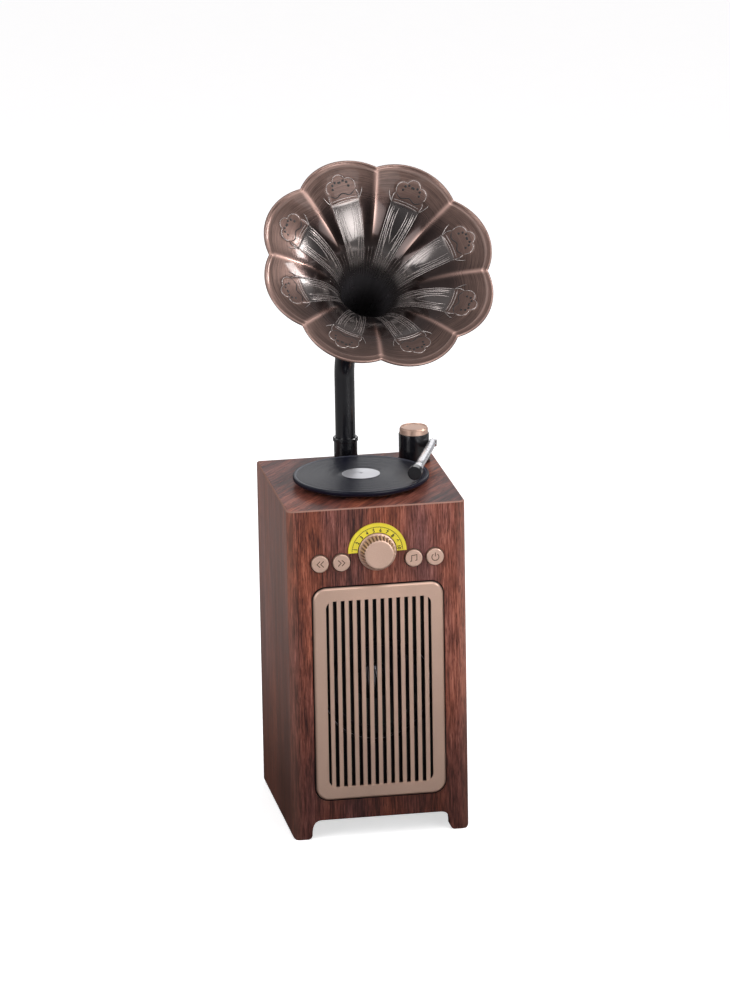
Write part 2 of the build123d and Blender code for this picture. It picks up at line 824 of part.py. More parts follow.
bracket_half = motor_radius + bracket_reach
bracket_side = bracket_share * motor_radius
bracket_spots = [(side * (bracket_half - bracket_foot / 2), record_y) for side in (-1, 1)]
with BuildPart() as motor_bracket:
    with BuildSketch(Plane.XZ.offset(-record_y - bracket_side)):
        with BuildLine():
            Polyline(
                (-bracket_half, under_top), (-bracket_half, under_top - bracket_thickness),
                (-bracket_half + bracket_foot, under_top - bracket_thickness),
                (-bracket_half + bracket_foot, motor_top), (bracket_half - bracket_foot, motor_top),
                (bracket_half - bracket_foot, under_top - bracket_thickness),
                (bracket_half, under_top - bracket_thickness), (bracket_half, under_top),
                (bracket_half - bracket_foot - bracket_thickness, under_top),
                (bracket_half - bracket_foot - bracket_thickness, motor_top + bracket_thickness),
                (-bracket_half + bracket_foot + bracket_thickness, motor_top + bracket_thickness),
                (-bracket_half + bracket_foot + bracket_thickness, under_top),
                close=True,
            )
        make_face()
    extrude(amount=2 * bracket_side)
    with BuildSketch(Plane.XY.offset(motor_top)):
        with Locations((0, record_y)):
            Circle(spindle_radius + spindle_drop)
        with Locations(*bracket_spots):
            Circle(screw_radius + running)
    extrude(amount=motor_drop, mode=Mode.SUBTRACT)

with BuildPart() as spindle:
    with BuildSketch(Plane.XY.offset(motor_top - motor_height / 2 + slip)):
        with Locations((0, record_y)):
            Circle(spindle_radius)
    extrude(amount=record_top - spindle_drop - (motor_top - motor_height / 2 + slip))

with BuildPart() as platter:
    with BuildSketch(upright(0, record_y)):
        bore = spindle_radius + running
        Polygon(
            (bore, platter_z), (platter_radius - platter_slope[0], platter_z),
            (platter_radius, record_z - platter_slope[1]), (platter_radius, record_z), (bore, record_z),
            align=None,
        )
    revolve(axis=vertical(0, record_y))

label_seat = label_radius + running
record_field = record_top - field_drop
with BuildPart() as record:
    with BuildSketch(upright(0, record_y)):
        bore = spindle_radius + running
        Polygon(
            (bore, record_z), (record_radius - record_slope[0], record_z),
            (record_radius, record_z + record_slope[1]), (record_radius, record_top - record_rim),
            (record_radius - record_rim, record_top), (record_radius - rim_band[0], record_top),
            (record_radius - rim_band[1], record_field), (label_radius + label_band[1], record_field),
            (label_radius + label_band[0], record_top), (label_seat, record_top),
            (label_seat, record_top - label_thickness), (bore, record_top - label_thickness),
            align=None,
        )
    revolve(axis=vertical(0, record_y))

with BuildPart() as record_label:
    with BuildSketch(Plane.XY.offset(record_top - label_thickness)):
        with Locations((0, record_y)):
            Circle(label_radius)
    extrude(amount=label_thickness + label_proud)

# ---------------------------------------------------------------- tonearm

with BuildPart() as post_base:
    with BuildSketch(Plane.XY.offset(cabinet_height)):
        with Locations((post_x, post_y)):
            Circle(post_base_radius)
            Circle(axle_radius + running, mode=Mode.SUBTRACT)
    extrude(amount=post_base_height)
    chamfer(post_base.faces().sort_by(Axis.Z)[-1].outer_wire().edges(), post_edge)

axle_top = post_top - axle_cover
axle_low = under_top - axle_nut_thickness - axle_tail
with BuildPart() as post_axle:
    with BuildSketch(Plane.XY.offset(axle_low)):
        with Locations((post_x, post_y)):
            Circle(axle_radius)
    extrude(amount=axle_top - axle_low)

# Nut of the encoder's bush and nut under the pillar's axle
with BuildPart() as hex_nuts:
    with BuildSketch(facing(front)):
        with Locations((0, knob_z)):
            RegularPolygon(nut_flat_radius, 6)
            Circle(bush_radius + running, mode=Mode.SUBTRACT)
    extrude(amount=nut_thickness)
    with BuildSketch(Plane.XY.offset(under_top - axle_nut_thickness)):
        with Locations((post_x, post_y)):
            RegularPolygon(axle_nut_radius, 6)
            Circle(axle_radius + running, mode=Mode.SUBTRACT)
    extrude(amount=axle_nut_thickness)

toe = radians(arm_toe)
post = Plane(origin=(post_x, post_y, arm_z), x_dir=(cos(toe), -sin(toe), 0), z_dir=(0, 0, 1))
# In this plane x points out to the side of the pillar and -y along the arm.
arm_section = Plane(origin=post.origin, x_dir=post.y_dir, z_dir=post.x_dir)
arm_across = Plane(origin=post.origin, x_dir=post.x_dir, z_dir=-post.y_dir)
eye_inner = arm_offset - arm_width / 2 + eye_trim
eye_outer = arm_offset + arm_width / 2 - eye_trim
pin_inner = post_radius - arm_pin_depth
pin_outer = eye_outer + arm_pin_end

with BuildPart() as turret:
    with BuildSketch(Plane.XY.offset(post_z + slip)):
        with Locations((post_x, post_y)):
            Circle(post_radius)
    extrude(amount=post_top - post_z - slip)
    fillet(turret.faces().sort_by(Axis.Z)[-1].edges(), post_edge)
    with BuildSketch(Plane.XY.offset(post_z + slip)):
        with Locations((post_x, post_y)):
            Circle(axle_radius + running)
    extrude(amount=axle_top + slip - post_z - slip, mode=Mode.SUBTRACT)
    with BuildSketch(arm_section.offset(pin_inner)):
        Circle(arm_pin_radius + press)
    extrude(amount=post_radius, mode=Mode.SUBTRACT)

cap_top = post_top + cap_height
with BuildPart() as post_cap:
    with BuildSketch(upright(post_x, post_y)):
        Polygon(
            (0, post_top), (cap_radius, post_top), (cap_radius, cap_top - 1.3),
            (cap_radius - 0.5, cap_top - 0.6), (cap_radius - 0.5, cap_top - 0.2),
            (cap_radius - 0.7, cap_top), (cap_radius - 1.4, cap_top),
            (cap_radius - 1.6, cap_top - cap_lip), (0, cap_top - cap_lip),
            align=None,
        )
    revolve(axis=vertical(post_x, post_y))

with BuildPart() as arm_pin:
    with BuildSketch(arm_section.offset(pin_inner)):
        Circle(arm_pin_radius)
    extrude(amount=pin_outer - pin_inner)
    with BuildSketch(arm_section.offset(eye_outer + slip)):
        Circle(arm_pin_head[0])
    extrude(amount=arm_pin_head[1])

arm_end = arm_reach - head_length / 2
with BuildPart() as tonearm:
    with BuildSketch(arm_section.offset(eye_inner)):
        Circle(arm_eye_radius)
        with Locations((-arm_end / 2, 0)):
            Rectangle(arm_end, arm_thickness)
    extrude(amount=eye_outer - eye_inner)
    with BuildSketch(arm_section.offset(arm_offset - ferrule_width / 2)):
        with Locations((-(arm_end - ferrule_length / 2), 0)):
            Rectangle(ferrule_length, ferrule_thickness)
    extrude(amount=ferrule_width)
    with BuildSketch(arm_section.offset(eye_inner)):
        Circle(arm_pin_radius + running)
    extrude(amount=eye_outer - eye_inner, mode=Mode.SUBTRACT)

with BuildPart() as head_shell:
    with BuildSketch(arm_across.offset(arm_end)):
        with Locations((arm_offset, 0)):
            Circle(head_radius)
    extrude(amount=head_length)
    with BuildSketch(arm_across.offset(arm_end + head_length)):
        with Locations((arm_offset, 0)):
            Circle(head_radius - head_rim)
    extrude(amount=-head_rim, mode=Mode.SUBTRACT)

stylus_length = arm_height - (record_top - cabinet_height) - head_radius - stylus_gap
with BuildPart() as stylus:
    with BuildSketch(post.offset(-head_radius - stylus_length)):
        with Locations((arm_offset, -arm_reach)):
            Circle(stylus_radius)
    extrude(amount=stylus_length)

# ---------------------------------------------------------------- neck

rise = radians(horn_rise)
turn = radians(horn_turn)
forward = Vector(sin(turn), -cos(turn), 0)
horn_axis = forward * cos(rise) + Vector(0, 0, 1) * sin(rise)
neck_side = Plane(origin=(0, neck_y, 0), x_dir=forward, z_dir=forward.cross(Vector(0, 0, 1)))
# Its z runs along the horn, from the corner of the elbow to the mouth.
horn_plane = Plane(origin=(0, neck_y, elbow_z), x_dir=Vector(0, 0, 1).cross(forward), z_dir=horn_axis)
horn_section = Plane(origin=horn_plane.origin, x_dir=horn_plane.x_dir, z_dir=-horn_plane.y_dir)
horn_line = Axis(horn_plane.origin, horn_plane.z_dir)

socket_top = cabinet_height + socket_height
tube_start = cabinet_height + socket_floor + socket_clearance

with BuildPart() as neck_socket:
    with BuildSketch(upright(0, neck_y)):
        Polygon(
            (neck_bolt_radius + running, cabinet_height), (socket_radius, cabinet_height),
            (socket_radius, socket_top), (tube_radius + running, socket_top),
            (tube_radius + running, cabinet_height + socket_floor),
            (neck_bolt_radius + running, cabinet_height + socket_floor),
            align=None,
        )
    revolve(axis=vertical(0, neck_y))

with BuildPart() as neck_ring:
    with BuildSketch(upright(0, neck_y)):
        ring_low = socket_top + slip
        Polygon(
            (tube_radius + press, ring_low), (ring_radius - ring_edge[0], ring_low),
            (ring_radius, ring_low + ring_edge[1]), (ring_radius, ring_low + ring_height - ring_edge[1]),
            (ring_radius - ring_edge[0], ring_low + ring_height),
            (tube_radius + press, ring_low + ring_height),
            align=None,
        )
    revolve(axis=vertical(0, neck_y))

with BuildPart() as neck_bolt:
    with BuildSketch(upright(0, neck_y)):
        low = under_top - washer_thickness
        high = cabinet_height + socket_floor
        Polygon(
            (0, low - neck_bolt_head), (neck_bolt_radius + neck_bolt_ledge, low - neck_bolt_head),
            (neck_bolt_radius + neck_bolt_ledge, low),
            (neck_bolt_radius, low), (neck_bolt_radius, high), (0, high),
            align=None,
        )
    revolve(axis=vertical(0, neck_y))

with BuildPart() as neck_washer:
    with BuildSketch(Plane.XY.offset(under_top - washer_thickness)):
        with Locations((0, neck_y)):
            Circle(washer_radius)
            Circle(neck_bolt_radius + running, mode=Mode.SUBTRACT)
    extrude(amount=washer_thickness)

tube_end = bell_start + 1.0     # along the horn line, just inside the coupling's step
with BuildPart() as neck_tube:
    with BuildLine(neck_side) as tube_path:
        FilletPolyline(
            (0, tube_start), (0, elbow_z), (tube_end * cos(rise), elbow_z + tube_end * sin(rise)),
            radius=elbow_radius,
        )
    with BuildSketch(Plane.XY.offset(tube_start)):
        with Locations((0, neck_y)):
            Circle(tube_radius)
            Circle(tube_radius - tube_wall, mode=Mode.SUBTRACT)
    sweep(path=tube_path.wires()[0])

# ---------------------------------------------------------------- horn


def flare(depth):
    """Radius of the creases at this depth behind the rim plane."""
    return throat_radius + (notch_radius - throat_radius) * exp(-depth / flare_length)


def lobe_swell(depth):
    """Radius of the petals' crowns over that of the creases; the petals fade towards the throat."""
    return 1 + (petal_radius / notch_radius - 1) * exp(-depth / petal_fade)


def lobe_corners(radius, depth):
    """Crease points round the horn and, between them, the crowns of the petals."""
    swell = lobe_swell(depth)
    notches = []
    crowns = []
    for i in range(petals):
        notch = radians(first_crease + 360 / petals * i)
        crown = radians(first_crease + 360 / petals * (i + 0.5))
        notches.append((radius * cos(notch), radius * sin(notch)))
        crowns.append((radius * swell * cos(crown), radius * swell * sin(crown)))
    return notches, crowns


bell_depths = [0, 3, 7, 12, 18, 26, 36, 48, 64, bell_depth - coupling_grip, bell_depth]
with BuildPart() as horn_bell:
    for depth in bell_depths:
        notches, crowns = lobe_corners(flare(depth), depth)
        with BuildSketch(horn_plane.offset(rim_distance - depth)):
            with BuildLine():
                for i in range(petals):
                    ThreePointArc(notches[i], crowns[i], notches[(i + 1) % petals])
            make_face()
    loft(ruled=True)
    for depth in bell_depths + [bell_depth + 4]:
        notches, crowns = lobe_corners(flare(depth) - sheet_across, depth)
        with BuildSketch(horn_plane.offset(rim_distance - depth + sheet_along)):
            with BuildLine():
                for i in range(petals):
                    ThreePointArc(notches[i], crowns[i], notches[(i + 1) % petals])
            make_face()
    loft(ruled=True, mode=Mode.SUBTRACT)

throat_fit = lobe_swell(bell_depth - coupling_grip) * flare(bell_depth - coupling_grip) + running
coupling_radius = throat_fit + coupling_wall
coupling_low = bell_start - coupling_grip
coupling_high = bell_start + coupling_grip
with BuildPart() as horn_coupling:
    with BuildSketch(horn_section):
        Polygon(
            (tube_radius + press, coupling_low), (coupling_radius - coupling_edge, coupling_low),
            (coupling_radius, coupling_low + coupling_edge),
            (coupling_radius, coupling_high - coupling_lip[1]),
            (coupling_radius - coupling_lip[0], coupling_high), (throat_fit, coupling_high),
            (throat_fit, bell_start - slip), (tube_radius + press, bell_start - slip),
            align=None,
        )
    revolve(axis=horn_line)

# ---------------------------------------------------------------- rear connections and battery

socket_sizes = {  # x, width, height of each socket's face
    "charging_socket": (-12.0, 9.0, 3.3),
    "line_in_socket": (0.0, 7.0, 6.0),
    "card_slot": (14.0, 13.0, 2.6),
}
with BuildPart() as port_plate:
    with BuildSketch(facing(back_outside + port_thickness)):
        with Locations((0, port_rise + port_height / 2)):
            RectangleRounded(port_width, port_height, port_radius)
        for x, width, height in socket_sizes.values():
            with Locations((x, main_board_z + board_sheet + height / 2)):
                Rectangle(width + 2 * port_gap, height + 2 * port_gap, mode=Mode.SUBTRACT)
        with Locations(*port_spots):
            Circle(screw_radius + running, mode=Mode.SUBTRACT)
    extrude(amount=port_thickness)

main_board_rear = back_inside - 1.0
standoff_spots = [
    (
        side * (main_board_width / 2 - standoff_inset),
        main_board_rear - main_board_depth / 2 + lift * (main_board_depth / 2 - standoff_inset),
    )
    for side in (-1, 1)
    for lift in (-1, 1)
]
with BuildPart() as main_board:
    with BuildSketch(Plane.XY.offset(main_board_z)):
        with Locations((0, main_board_rear - main_board_depth / 2)):
            Rectangle(main_board_width, main_board_depth)
        with Locations(*standoff_spots):
            Circle(screw_radius + running, mode=Mode.SUBTRACT)
    extrude(amount=board_sheet)

with BuildPart() as rear_sockets:
    for word, (x, width, height) in socket_sizes.items():
        with BuildSketch(facing(back_outside)):
            with Locations((x, main_board_z + board_sheet + height / 2)):
                Rectangle(width, height)
        extrude(amount=back_outside - main_board_rear + socket_overlap)
        with BuildSketch(facing(back_outside)):
            with Locations((x, main_board_z + board_sheet + height / 2)):
                if word == "line_in_socket":
                    Circle(jack_radius)
                else:
                    Rectangle(width - 2 * socket_wall_thickness, height - 2 * socket_wall_thickness)
        extrude(amount=board, mode=Mode.SUBTRACT)

# Radio module and amplifier
chip_y = main_board_rear - main_board_depth + chip_setback
with BuildPart() as board_chips:
    with BuildSketch(Plane.XY.offset(main_board_z + board_sheet)):
        with Locations((radio_x, chip_y)):
            Rectangle(*radio_module[:2])
    extrude(amount=radio_module[2])
    with BuildSketch(Plane.XY.offset(main_board_z + board_sheet)):
        with Locations((amplifier_x, chip_y)):
            Rectangle(*amplifier[:2])
    extrude(amount=amplifier[2])

with BuildPart() as board_spacers:
    with BuildSketch(Plane.XY.offset(floor_inside)):
        with Locations(*standoff_spots):
            Circle(screw_head_radius)
            Circle(screw_radius + running, mode=Mode.SUBTRACT)
    extrude(amount=main_board_lift)
    with BuildSketch(facing(control_board_y)):
        with Locations(*board_spots):
            Circle(screw_head_radius)
            Circle(screw_radius + running, mode=Mode.SUBTRACT)
    extrude(amount=control_board_gap)

cell_y = front_inside + cell_setback
cell_z = floor_inside + holder_wall + cell_radius
with BuildPart() as battery_holder:
    with BuildSketch(Plane.XY.offset(floor_inside)):
        with Locations((0, cell_y)):
            Rectangle(cell_length + 2 * holder_wall + 2 * holder_end, 2 * cell_radius + 2 * holder_wall)
    extrude(amount=holder_wall + cell_radius)
    with BuildSketch(Plane.XY.offset(floor_inside + holder_wall)):
        with Locations((0, cell_y)):
            Rectangle(cell_length + 2 * holder_end, 2 * cell_radius + 2 * holder_side)
    extrude(amount=cell_radius, mode=Mode.SUBTRACT)

with BuildPart() as battery_cell:
    with BuildSketch(Plane.YZ.offset(-cell_length / 2)):
        with Locations((cell_y, cell_z + running)):
            Circle(cell_radius)
    extrude(amount=cell_length)

# Small pan-head screws: seat of the head, places, signed shank length, signed head height, head radius
driver_shank = flange_thickness + gasket_thickness + board / 2 - screw_end
board_shank = board_sheet + control_board_gap
port_shank = port_thickness + back_thickness / 2
standoff_shank = board_sheet + main_board_lift - socket_wall_thickness
bracket_seat = under_top - bracket_thickness
head = screw_head_height
screw_rows = (
    (facing(flange_back), screw_spots, driver_shank, -head, driver_head_radius),
    (facing(control_board_y + board_sheet), board_spots, board_shank, -head, pan_head_radius),
    (facing(back_outside + port_thickness), port_spots, port_shank, -port_head[1], port_head[0]),
    (Plane.XY.offset(main_board_z + board_sheet), standoff_spots, -standoff_shank, head, pan_head_radius),
    (Plane.XY.offset(bracket_seat), bracket_spots, bracket_thickness, -head, pan_head_radius),
)
with BuildPart() as small_screws:
    for seat, spots, shank, head_height, radius in screw_rows:
        with BuildSketch(seat):
            with Locations(*spots):
                Circle(radius)
        extrude(amount=head_height)
        with BuildSketch(seat):
            with Locations(*spots):
                Circle(screw_radius - running)
        extrude(amount=shank)

# ---------------------------------------------------------------- export

pieces = {
    "front_board": front_board,
    **side_boards,
    "top_board": top_board,
    "bottom_board": bottom_board,
    "back_board": back_board,
    "back_battens": back_battens,
    "back_screws": back_screws,
    "grille": grille,
    "speaker_gasket": speaker_gasket,
    "speaker_basket": speaker_basket,
    "speaker_surround": speaker_surround,
    "speaker_cone": speaker_cone,
    "dust_cap": dust_cap,
    "spider": spider,
    "voice_coil": voice_coil,
    "speaker_magnet": speaker_magnet,
    "pole_plates": pole_plates,
    "dial_plate": dial_plate,
    "encoder": encoder,
    "encoder_shaft": encoder_shaft,
    "knob": knob,
    **buttons,
    "push_switches": push_switches,
    "control_board": control_board,
    "board_spacers": board_spacers,
    "small_screws": small_screws,
    "hex_nuts": hex_nuts,
    "spindle_bush": spindle_bush,
    "turntable_motor": motor,
    "motor_bracket": motor_bracket,
    "spindle": spindle,
    "platter": platter,
    "record": record,
    "record_label": record_label,
    "post_base": post_base,
    "post_axle": post_axle,
    "turret": turret,
    "post_cap": post_cap,
    "arm_pin": arm_pin,
    "tonearm": tonearm,
    "head_shell": head_shell,
    "stylus": stylus,
    "neck_socket": neck_socket,
    "neck_bolt": neck_bolt,
    "neck_washer": neck_washer,
    "neck_tube": neck_tube,
    "neck_ring": neck_ring,
    "horn_coupling": horn_coupling,
    "horn_bell": horn_bell,
    "port_plate": port_plate,
    "rear_sockets": rear_sockets,
    "main_board": main_board,
    "board_chips": board_chips,
    "battery_holder": battery_holder,
    "battery_cell": battery_cell,
}

os.makedirs("parts", exist_ok=True)
for name, piece in pieces.items():
    piece.part.label = name
    export_step(piece.part, f"parts/{name}.step")
print(len(pieces), "sub-parts")
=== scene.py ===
"""Horn loudspeaker: finishes, horn relief, dial, record and studio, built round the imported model.

Lengths inside the shape functions are millimetres; meshes are written in metres.
"""

from math import cos, pi, radians, sin, tan

import bmesh
import bpy
import numpy as np
from mathutils import Matrix, Vector


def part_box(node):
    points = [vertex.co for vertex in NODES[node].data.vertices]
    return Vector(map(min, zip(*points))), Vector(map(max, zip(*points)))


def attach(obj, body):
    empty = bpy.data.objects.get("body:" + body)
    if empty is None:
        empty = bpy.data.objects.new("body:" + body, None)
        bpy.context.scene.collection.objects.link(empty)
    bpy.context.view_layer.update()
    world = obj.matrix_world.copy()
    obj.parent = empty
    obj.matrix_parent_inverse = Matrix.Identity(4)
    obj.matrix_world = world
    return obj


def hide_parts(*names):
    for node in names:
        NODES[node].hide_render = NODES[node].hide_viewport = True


bl_info = {
    "name": "Horn loudspeaker",
    "version": (1, 0, 0),
    "blender": (4, 5, 0),
    "location": "3D View > Sidebar > Loudspeaker",
    "description": "Builds the looks of a horn loudspeaker round its packed model",
    "category": "Object",
}

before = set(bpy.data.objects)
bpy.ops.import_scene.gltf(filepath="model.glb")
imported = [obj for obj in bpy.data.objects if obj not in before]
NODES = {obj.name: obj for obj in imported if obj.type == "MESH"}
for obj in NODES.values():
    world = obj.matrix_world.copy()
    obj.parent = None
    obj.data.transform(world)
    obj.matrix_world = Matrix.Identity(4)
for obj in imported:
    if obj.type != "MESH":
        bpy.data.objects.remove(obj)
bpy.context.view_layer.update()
MM = 0.001


# ---------------------------------------------------------------- settings

def colour(name, description, default):
    return bpy.props.FloatVectorProperty(
        name=name, description=description, default=default, subtype="COLOR", size=3, min=0, max=1)


def number(name, description, default, **more):
    return bpy.props.FloatProperty(name=name, description=description, default=default, **more)


class CabinetLook(bpy.types.PropertyGroup):
    """Colours of the box and its metal trim."""
    wood_dark: colour("Dark grain", "Darkest streaks of the wood", (0.033, 0.012, 0.010))
    wood_mid: colour("Middle grain", "Main colour of the wood", (0.128, 0.041, 0.029))
    wood_light: colour("Light grain", "Lightest streaks of the wood", (0.40, 0.150, 0.105))
    figure_size: number("Figure size", "Width of the wood's broad figure", 0.045, unit="LENGTH", min=0.005)
    champagne: colour("Champagne", "Grille, knob and buttons", (0.63, 0.410, 0.315))
    dial: colour("Dial", "Printed half ring behind the knob", (0.80, 0.66, 0.035))


class HornLook(bpy.types.PropertyGroup):
    """Shape and colours of the horn."""
    rim: colour("Rim copper", "Brushed copper near the rim", (0.105, 0.066, 0.055))
    middle: colour("Middle copper", "Darkened copper half way in", (0.050, 0.032, 0.029))
    # the throat colour is painted shade deep in the horn
    throat: colour("Throat", "Blackened copper in the throat", (0.040, 0.037, 0.040))
    # the crease colour is rubbed copper and a painted highlight along the creases
    crease: colour("Creases", "Rubbed copper on the creases and the rolled rim", (0.62, 0.40, 0.34))
    leaf: colour("Leaves", "Polished metal of the pressed leaves", (0.150, 0.135, 0.130))
    relief: number("Relief", "Height of the pressed ornament", 0.00035, unit="LENGTH", min=0)


class DeckLook(bpy.types.PropertyGroup):
    """Turntable, tonearm and neck."""
    black: colour("Black", "Glossy black of the pillar and neck", (0.006, 0.006, 0.008))
    groove_pitch: number("Groove pitch", "Distance between the record's modelled grooves", 0.0005,
                         unit="LENGTH", min=0.0002)
    label: colour("Label", "Spun silver label", (0.80, 0.80, 0.84))


class StageLook(bpy.types.PropertyGroup):
    """Floor, light and camera."""
    floor: colour("Floor", "Plain pale floor", (0.86, 0.86, 0.86))
    azimuth: number("Azimuth", "Camera's turn round the object", radians(-9.74), unit="ROTATION")
    elevation: number("Elevation", "Camera's height above the horizon", radians(16.15), unit="ROTATION")
    roll: number("Roll", "Camera's roll", radians(-1.0), unit="ROTATION")
    distance: number("Distance", "Camera to its target", 3.9418, unit="LENGTH")
    lens: number("Lens", "Focal length in millimetres", 218.6)
    target_right: number("Target right", "Camera's target right of the middle", 3.34 * MM, unit="LENGTH")
    target_up: number("Target height", "Camera's target above the floor", 208.19 * MM, unit="LENGTH")


# ---------------------------------------------------------------- shader helpers

def add_node(tree, kind, inputs=None, **settings):
    """Adds a shader node; an input is a plain value or the output of another node."""
    made = tree.nodes.new("ShaderNode" + kind)
    for key, value in settings.items():
        setattr(made, key, value)
    for key, value in (inputs or {}).items():
        if isinstance(value, bpy.types.NodeSocket):
            tree.links.new(value, made.inputs[key])
        else:
            made.inputs[key].default_value = value
    return made


def maths(tree, operation, first, second=0.0):
    """Result of a sum on plain values or outputs."""
    return add_node(tree, "Math", {0: first, 1: second}, operation=operation).outputs[0]


def plus(tree, first, second):
    return maths(tree, "ADD", first, second)


def minus(tree, first, second):
    return maths(tree, "SUBTRACT", first, second)


def times(tree, first, second):
    return maths(tree, "MULTIPLY", first, second)


def over(tree, first, second):
    return maths(tree, "DIVIDE", first, second)


def axes(tree, vector):
    """The three parts of a vector."""
    return add_node(tree, "SeparateXYZ", {0: vector}).outputs


def mixed(tree, share, first, second, blend="MIX"):
    """Mixes two colours."""
    made = add_node(tree, "Mix", {0: share}, data_type="RGBA", blend_type=blend)
    for slot, value in ((6, first), (7, second)):
        if isinstance(value, bpy.types.NodeSocket):
            tree.links.new(value, made.inputs[slot])
        else:
            made.inputs[slot].default_value = (*value[:3], 1)
    return made.outputs[2]


def ramp(tree, value, stops):
    """Colour ramp; stops are (place, colour or grey)."""
    made = add_node(tree, "ValToRGB", {0: value})
    elements = made.color_ramp.elements
    while len(elements) < len(stops):
        elements.new(0.5)
    for element, (place, shade) in zip(elements, sorted(stops, key=lambda stop: stop[0])):
        element.position = place
        element.color = (*shade, 1) if hasattr(shade, "__len__") else (shade, shade, shade, 1)
    return made.outputs[0]


def stretched(tree, coords, scale, turn=(0, 0, 0)):
    """Coordinates scaled along each axis and turned."""
    return add_node(tree, "Mapping", {"Vector": coords, "Scale": scale, "Rotation": turn}).outputs[0]


def noise(tree, coords, scale=1.0, detail=2.0, rough=0.5, distortion=0.0):
    """Noise from 0 to 1, with about scale spots to the metre."""
    return add_node(tree, "TexNoise", {
        "Vector": coords, "Scale": scale, "Detail": detail, "Roughness": rough, "Distortion": distortion,
    }).outputs[0]


def bumped(tree, height, strength, distance):
    """Normal of a surface with that height, which is distance metres for 1."""
    return add_node(tree, "Bump", {"Height": height, "Strength": strength, "Distance": distance}).outputs[0]


def attribute(tree, name):
    """Value of a mesh attribute."""
    return add_node(tree, "Attribute", attribute_name=name).outputs["Fac"]


def scaled(base, share):
    """A colour times a number, with no part above 1."""
    return tuple(min(1, share * c) for c in base)


def new_finish(name, **values):
    """A material with one shader; returns it, its tree and the object coordinates."""
    made = bpy.data.materials.new(name)
    made.use_nodes = True
    tree = made.node_tree
    shader = tree.nodes["Principled BSDF"]
    for key, value in values.items():
        socket = shader.inputs[key.replace("_", " ")]
        socket.default_value = (*value, 1) if hasattr(value, "__len__") and len(value) == 3 else value
    coords = add_node(tree, "TexCoord").outputs["Object"]
    return made, tree, coords


def drive(made, **outputs):
    """Links outputs to a material's shader, by the names of its inputs."""
    tree = made.node_tree
    for key, value in outputs.items():
        tree.links.new(value, tree.nodes["Principled BSDF"].inputs[key.replace("_", " ")])
    return made


def plain_finish(name, base, rough, grain, spread=0.12, rough_spread=0.08, bump=0.1, **values):
    """A moulded, cast or painted finish: mottled colour, uneven gloss and a fine grain of that size in mm."""
    made, tree, coords = new_finish(name, **values)
    mottle = noise(tree, coords, 1000 / (grain * 12), 3)
    fine = noise(tree, coords, 1000 / grain, 2)
    shades = ramp(tree, mottle, [(0.3, scaled(base, 1 - spread)), (0.7, scaled(base, 1 + spread))])
    gloss = ramp(tree, fine, [(0.3, rough - rough_spread), (0.7, rough + rough_spread)])
    return drive(made, Base_Color=shades, Roughness=gloss, Normal=bumped(tree, fine, bump, grain * MM * 0.3))


# ---------------------------------------------------------------- finishes

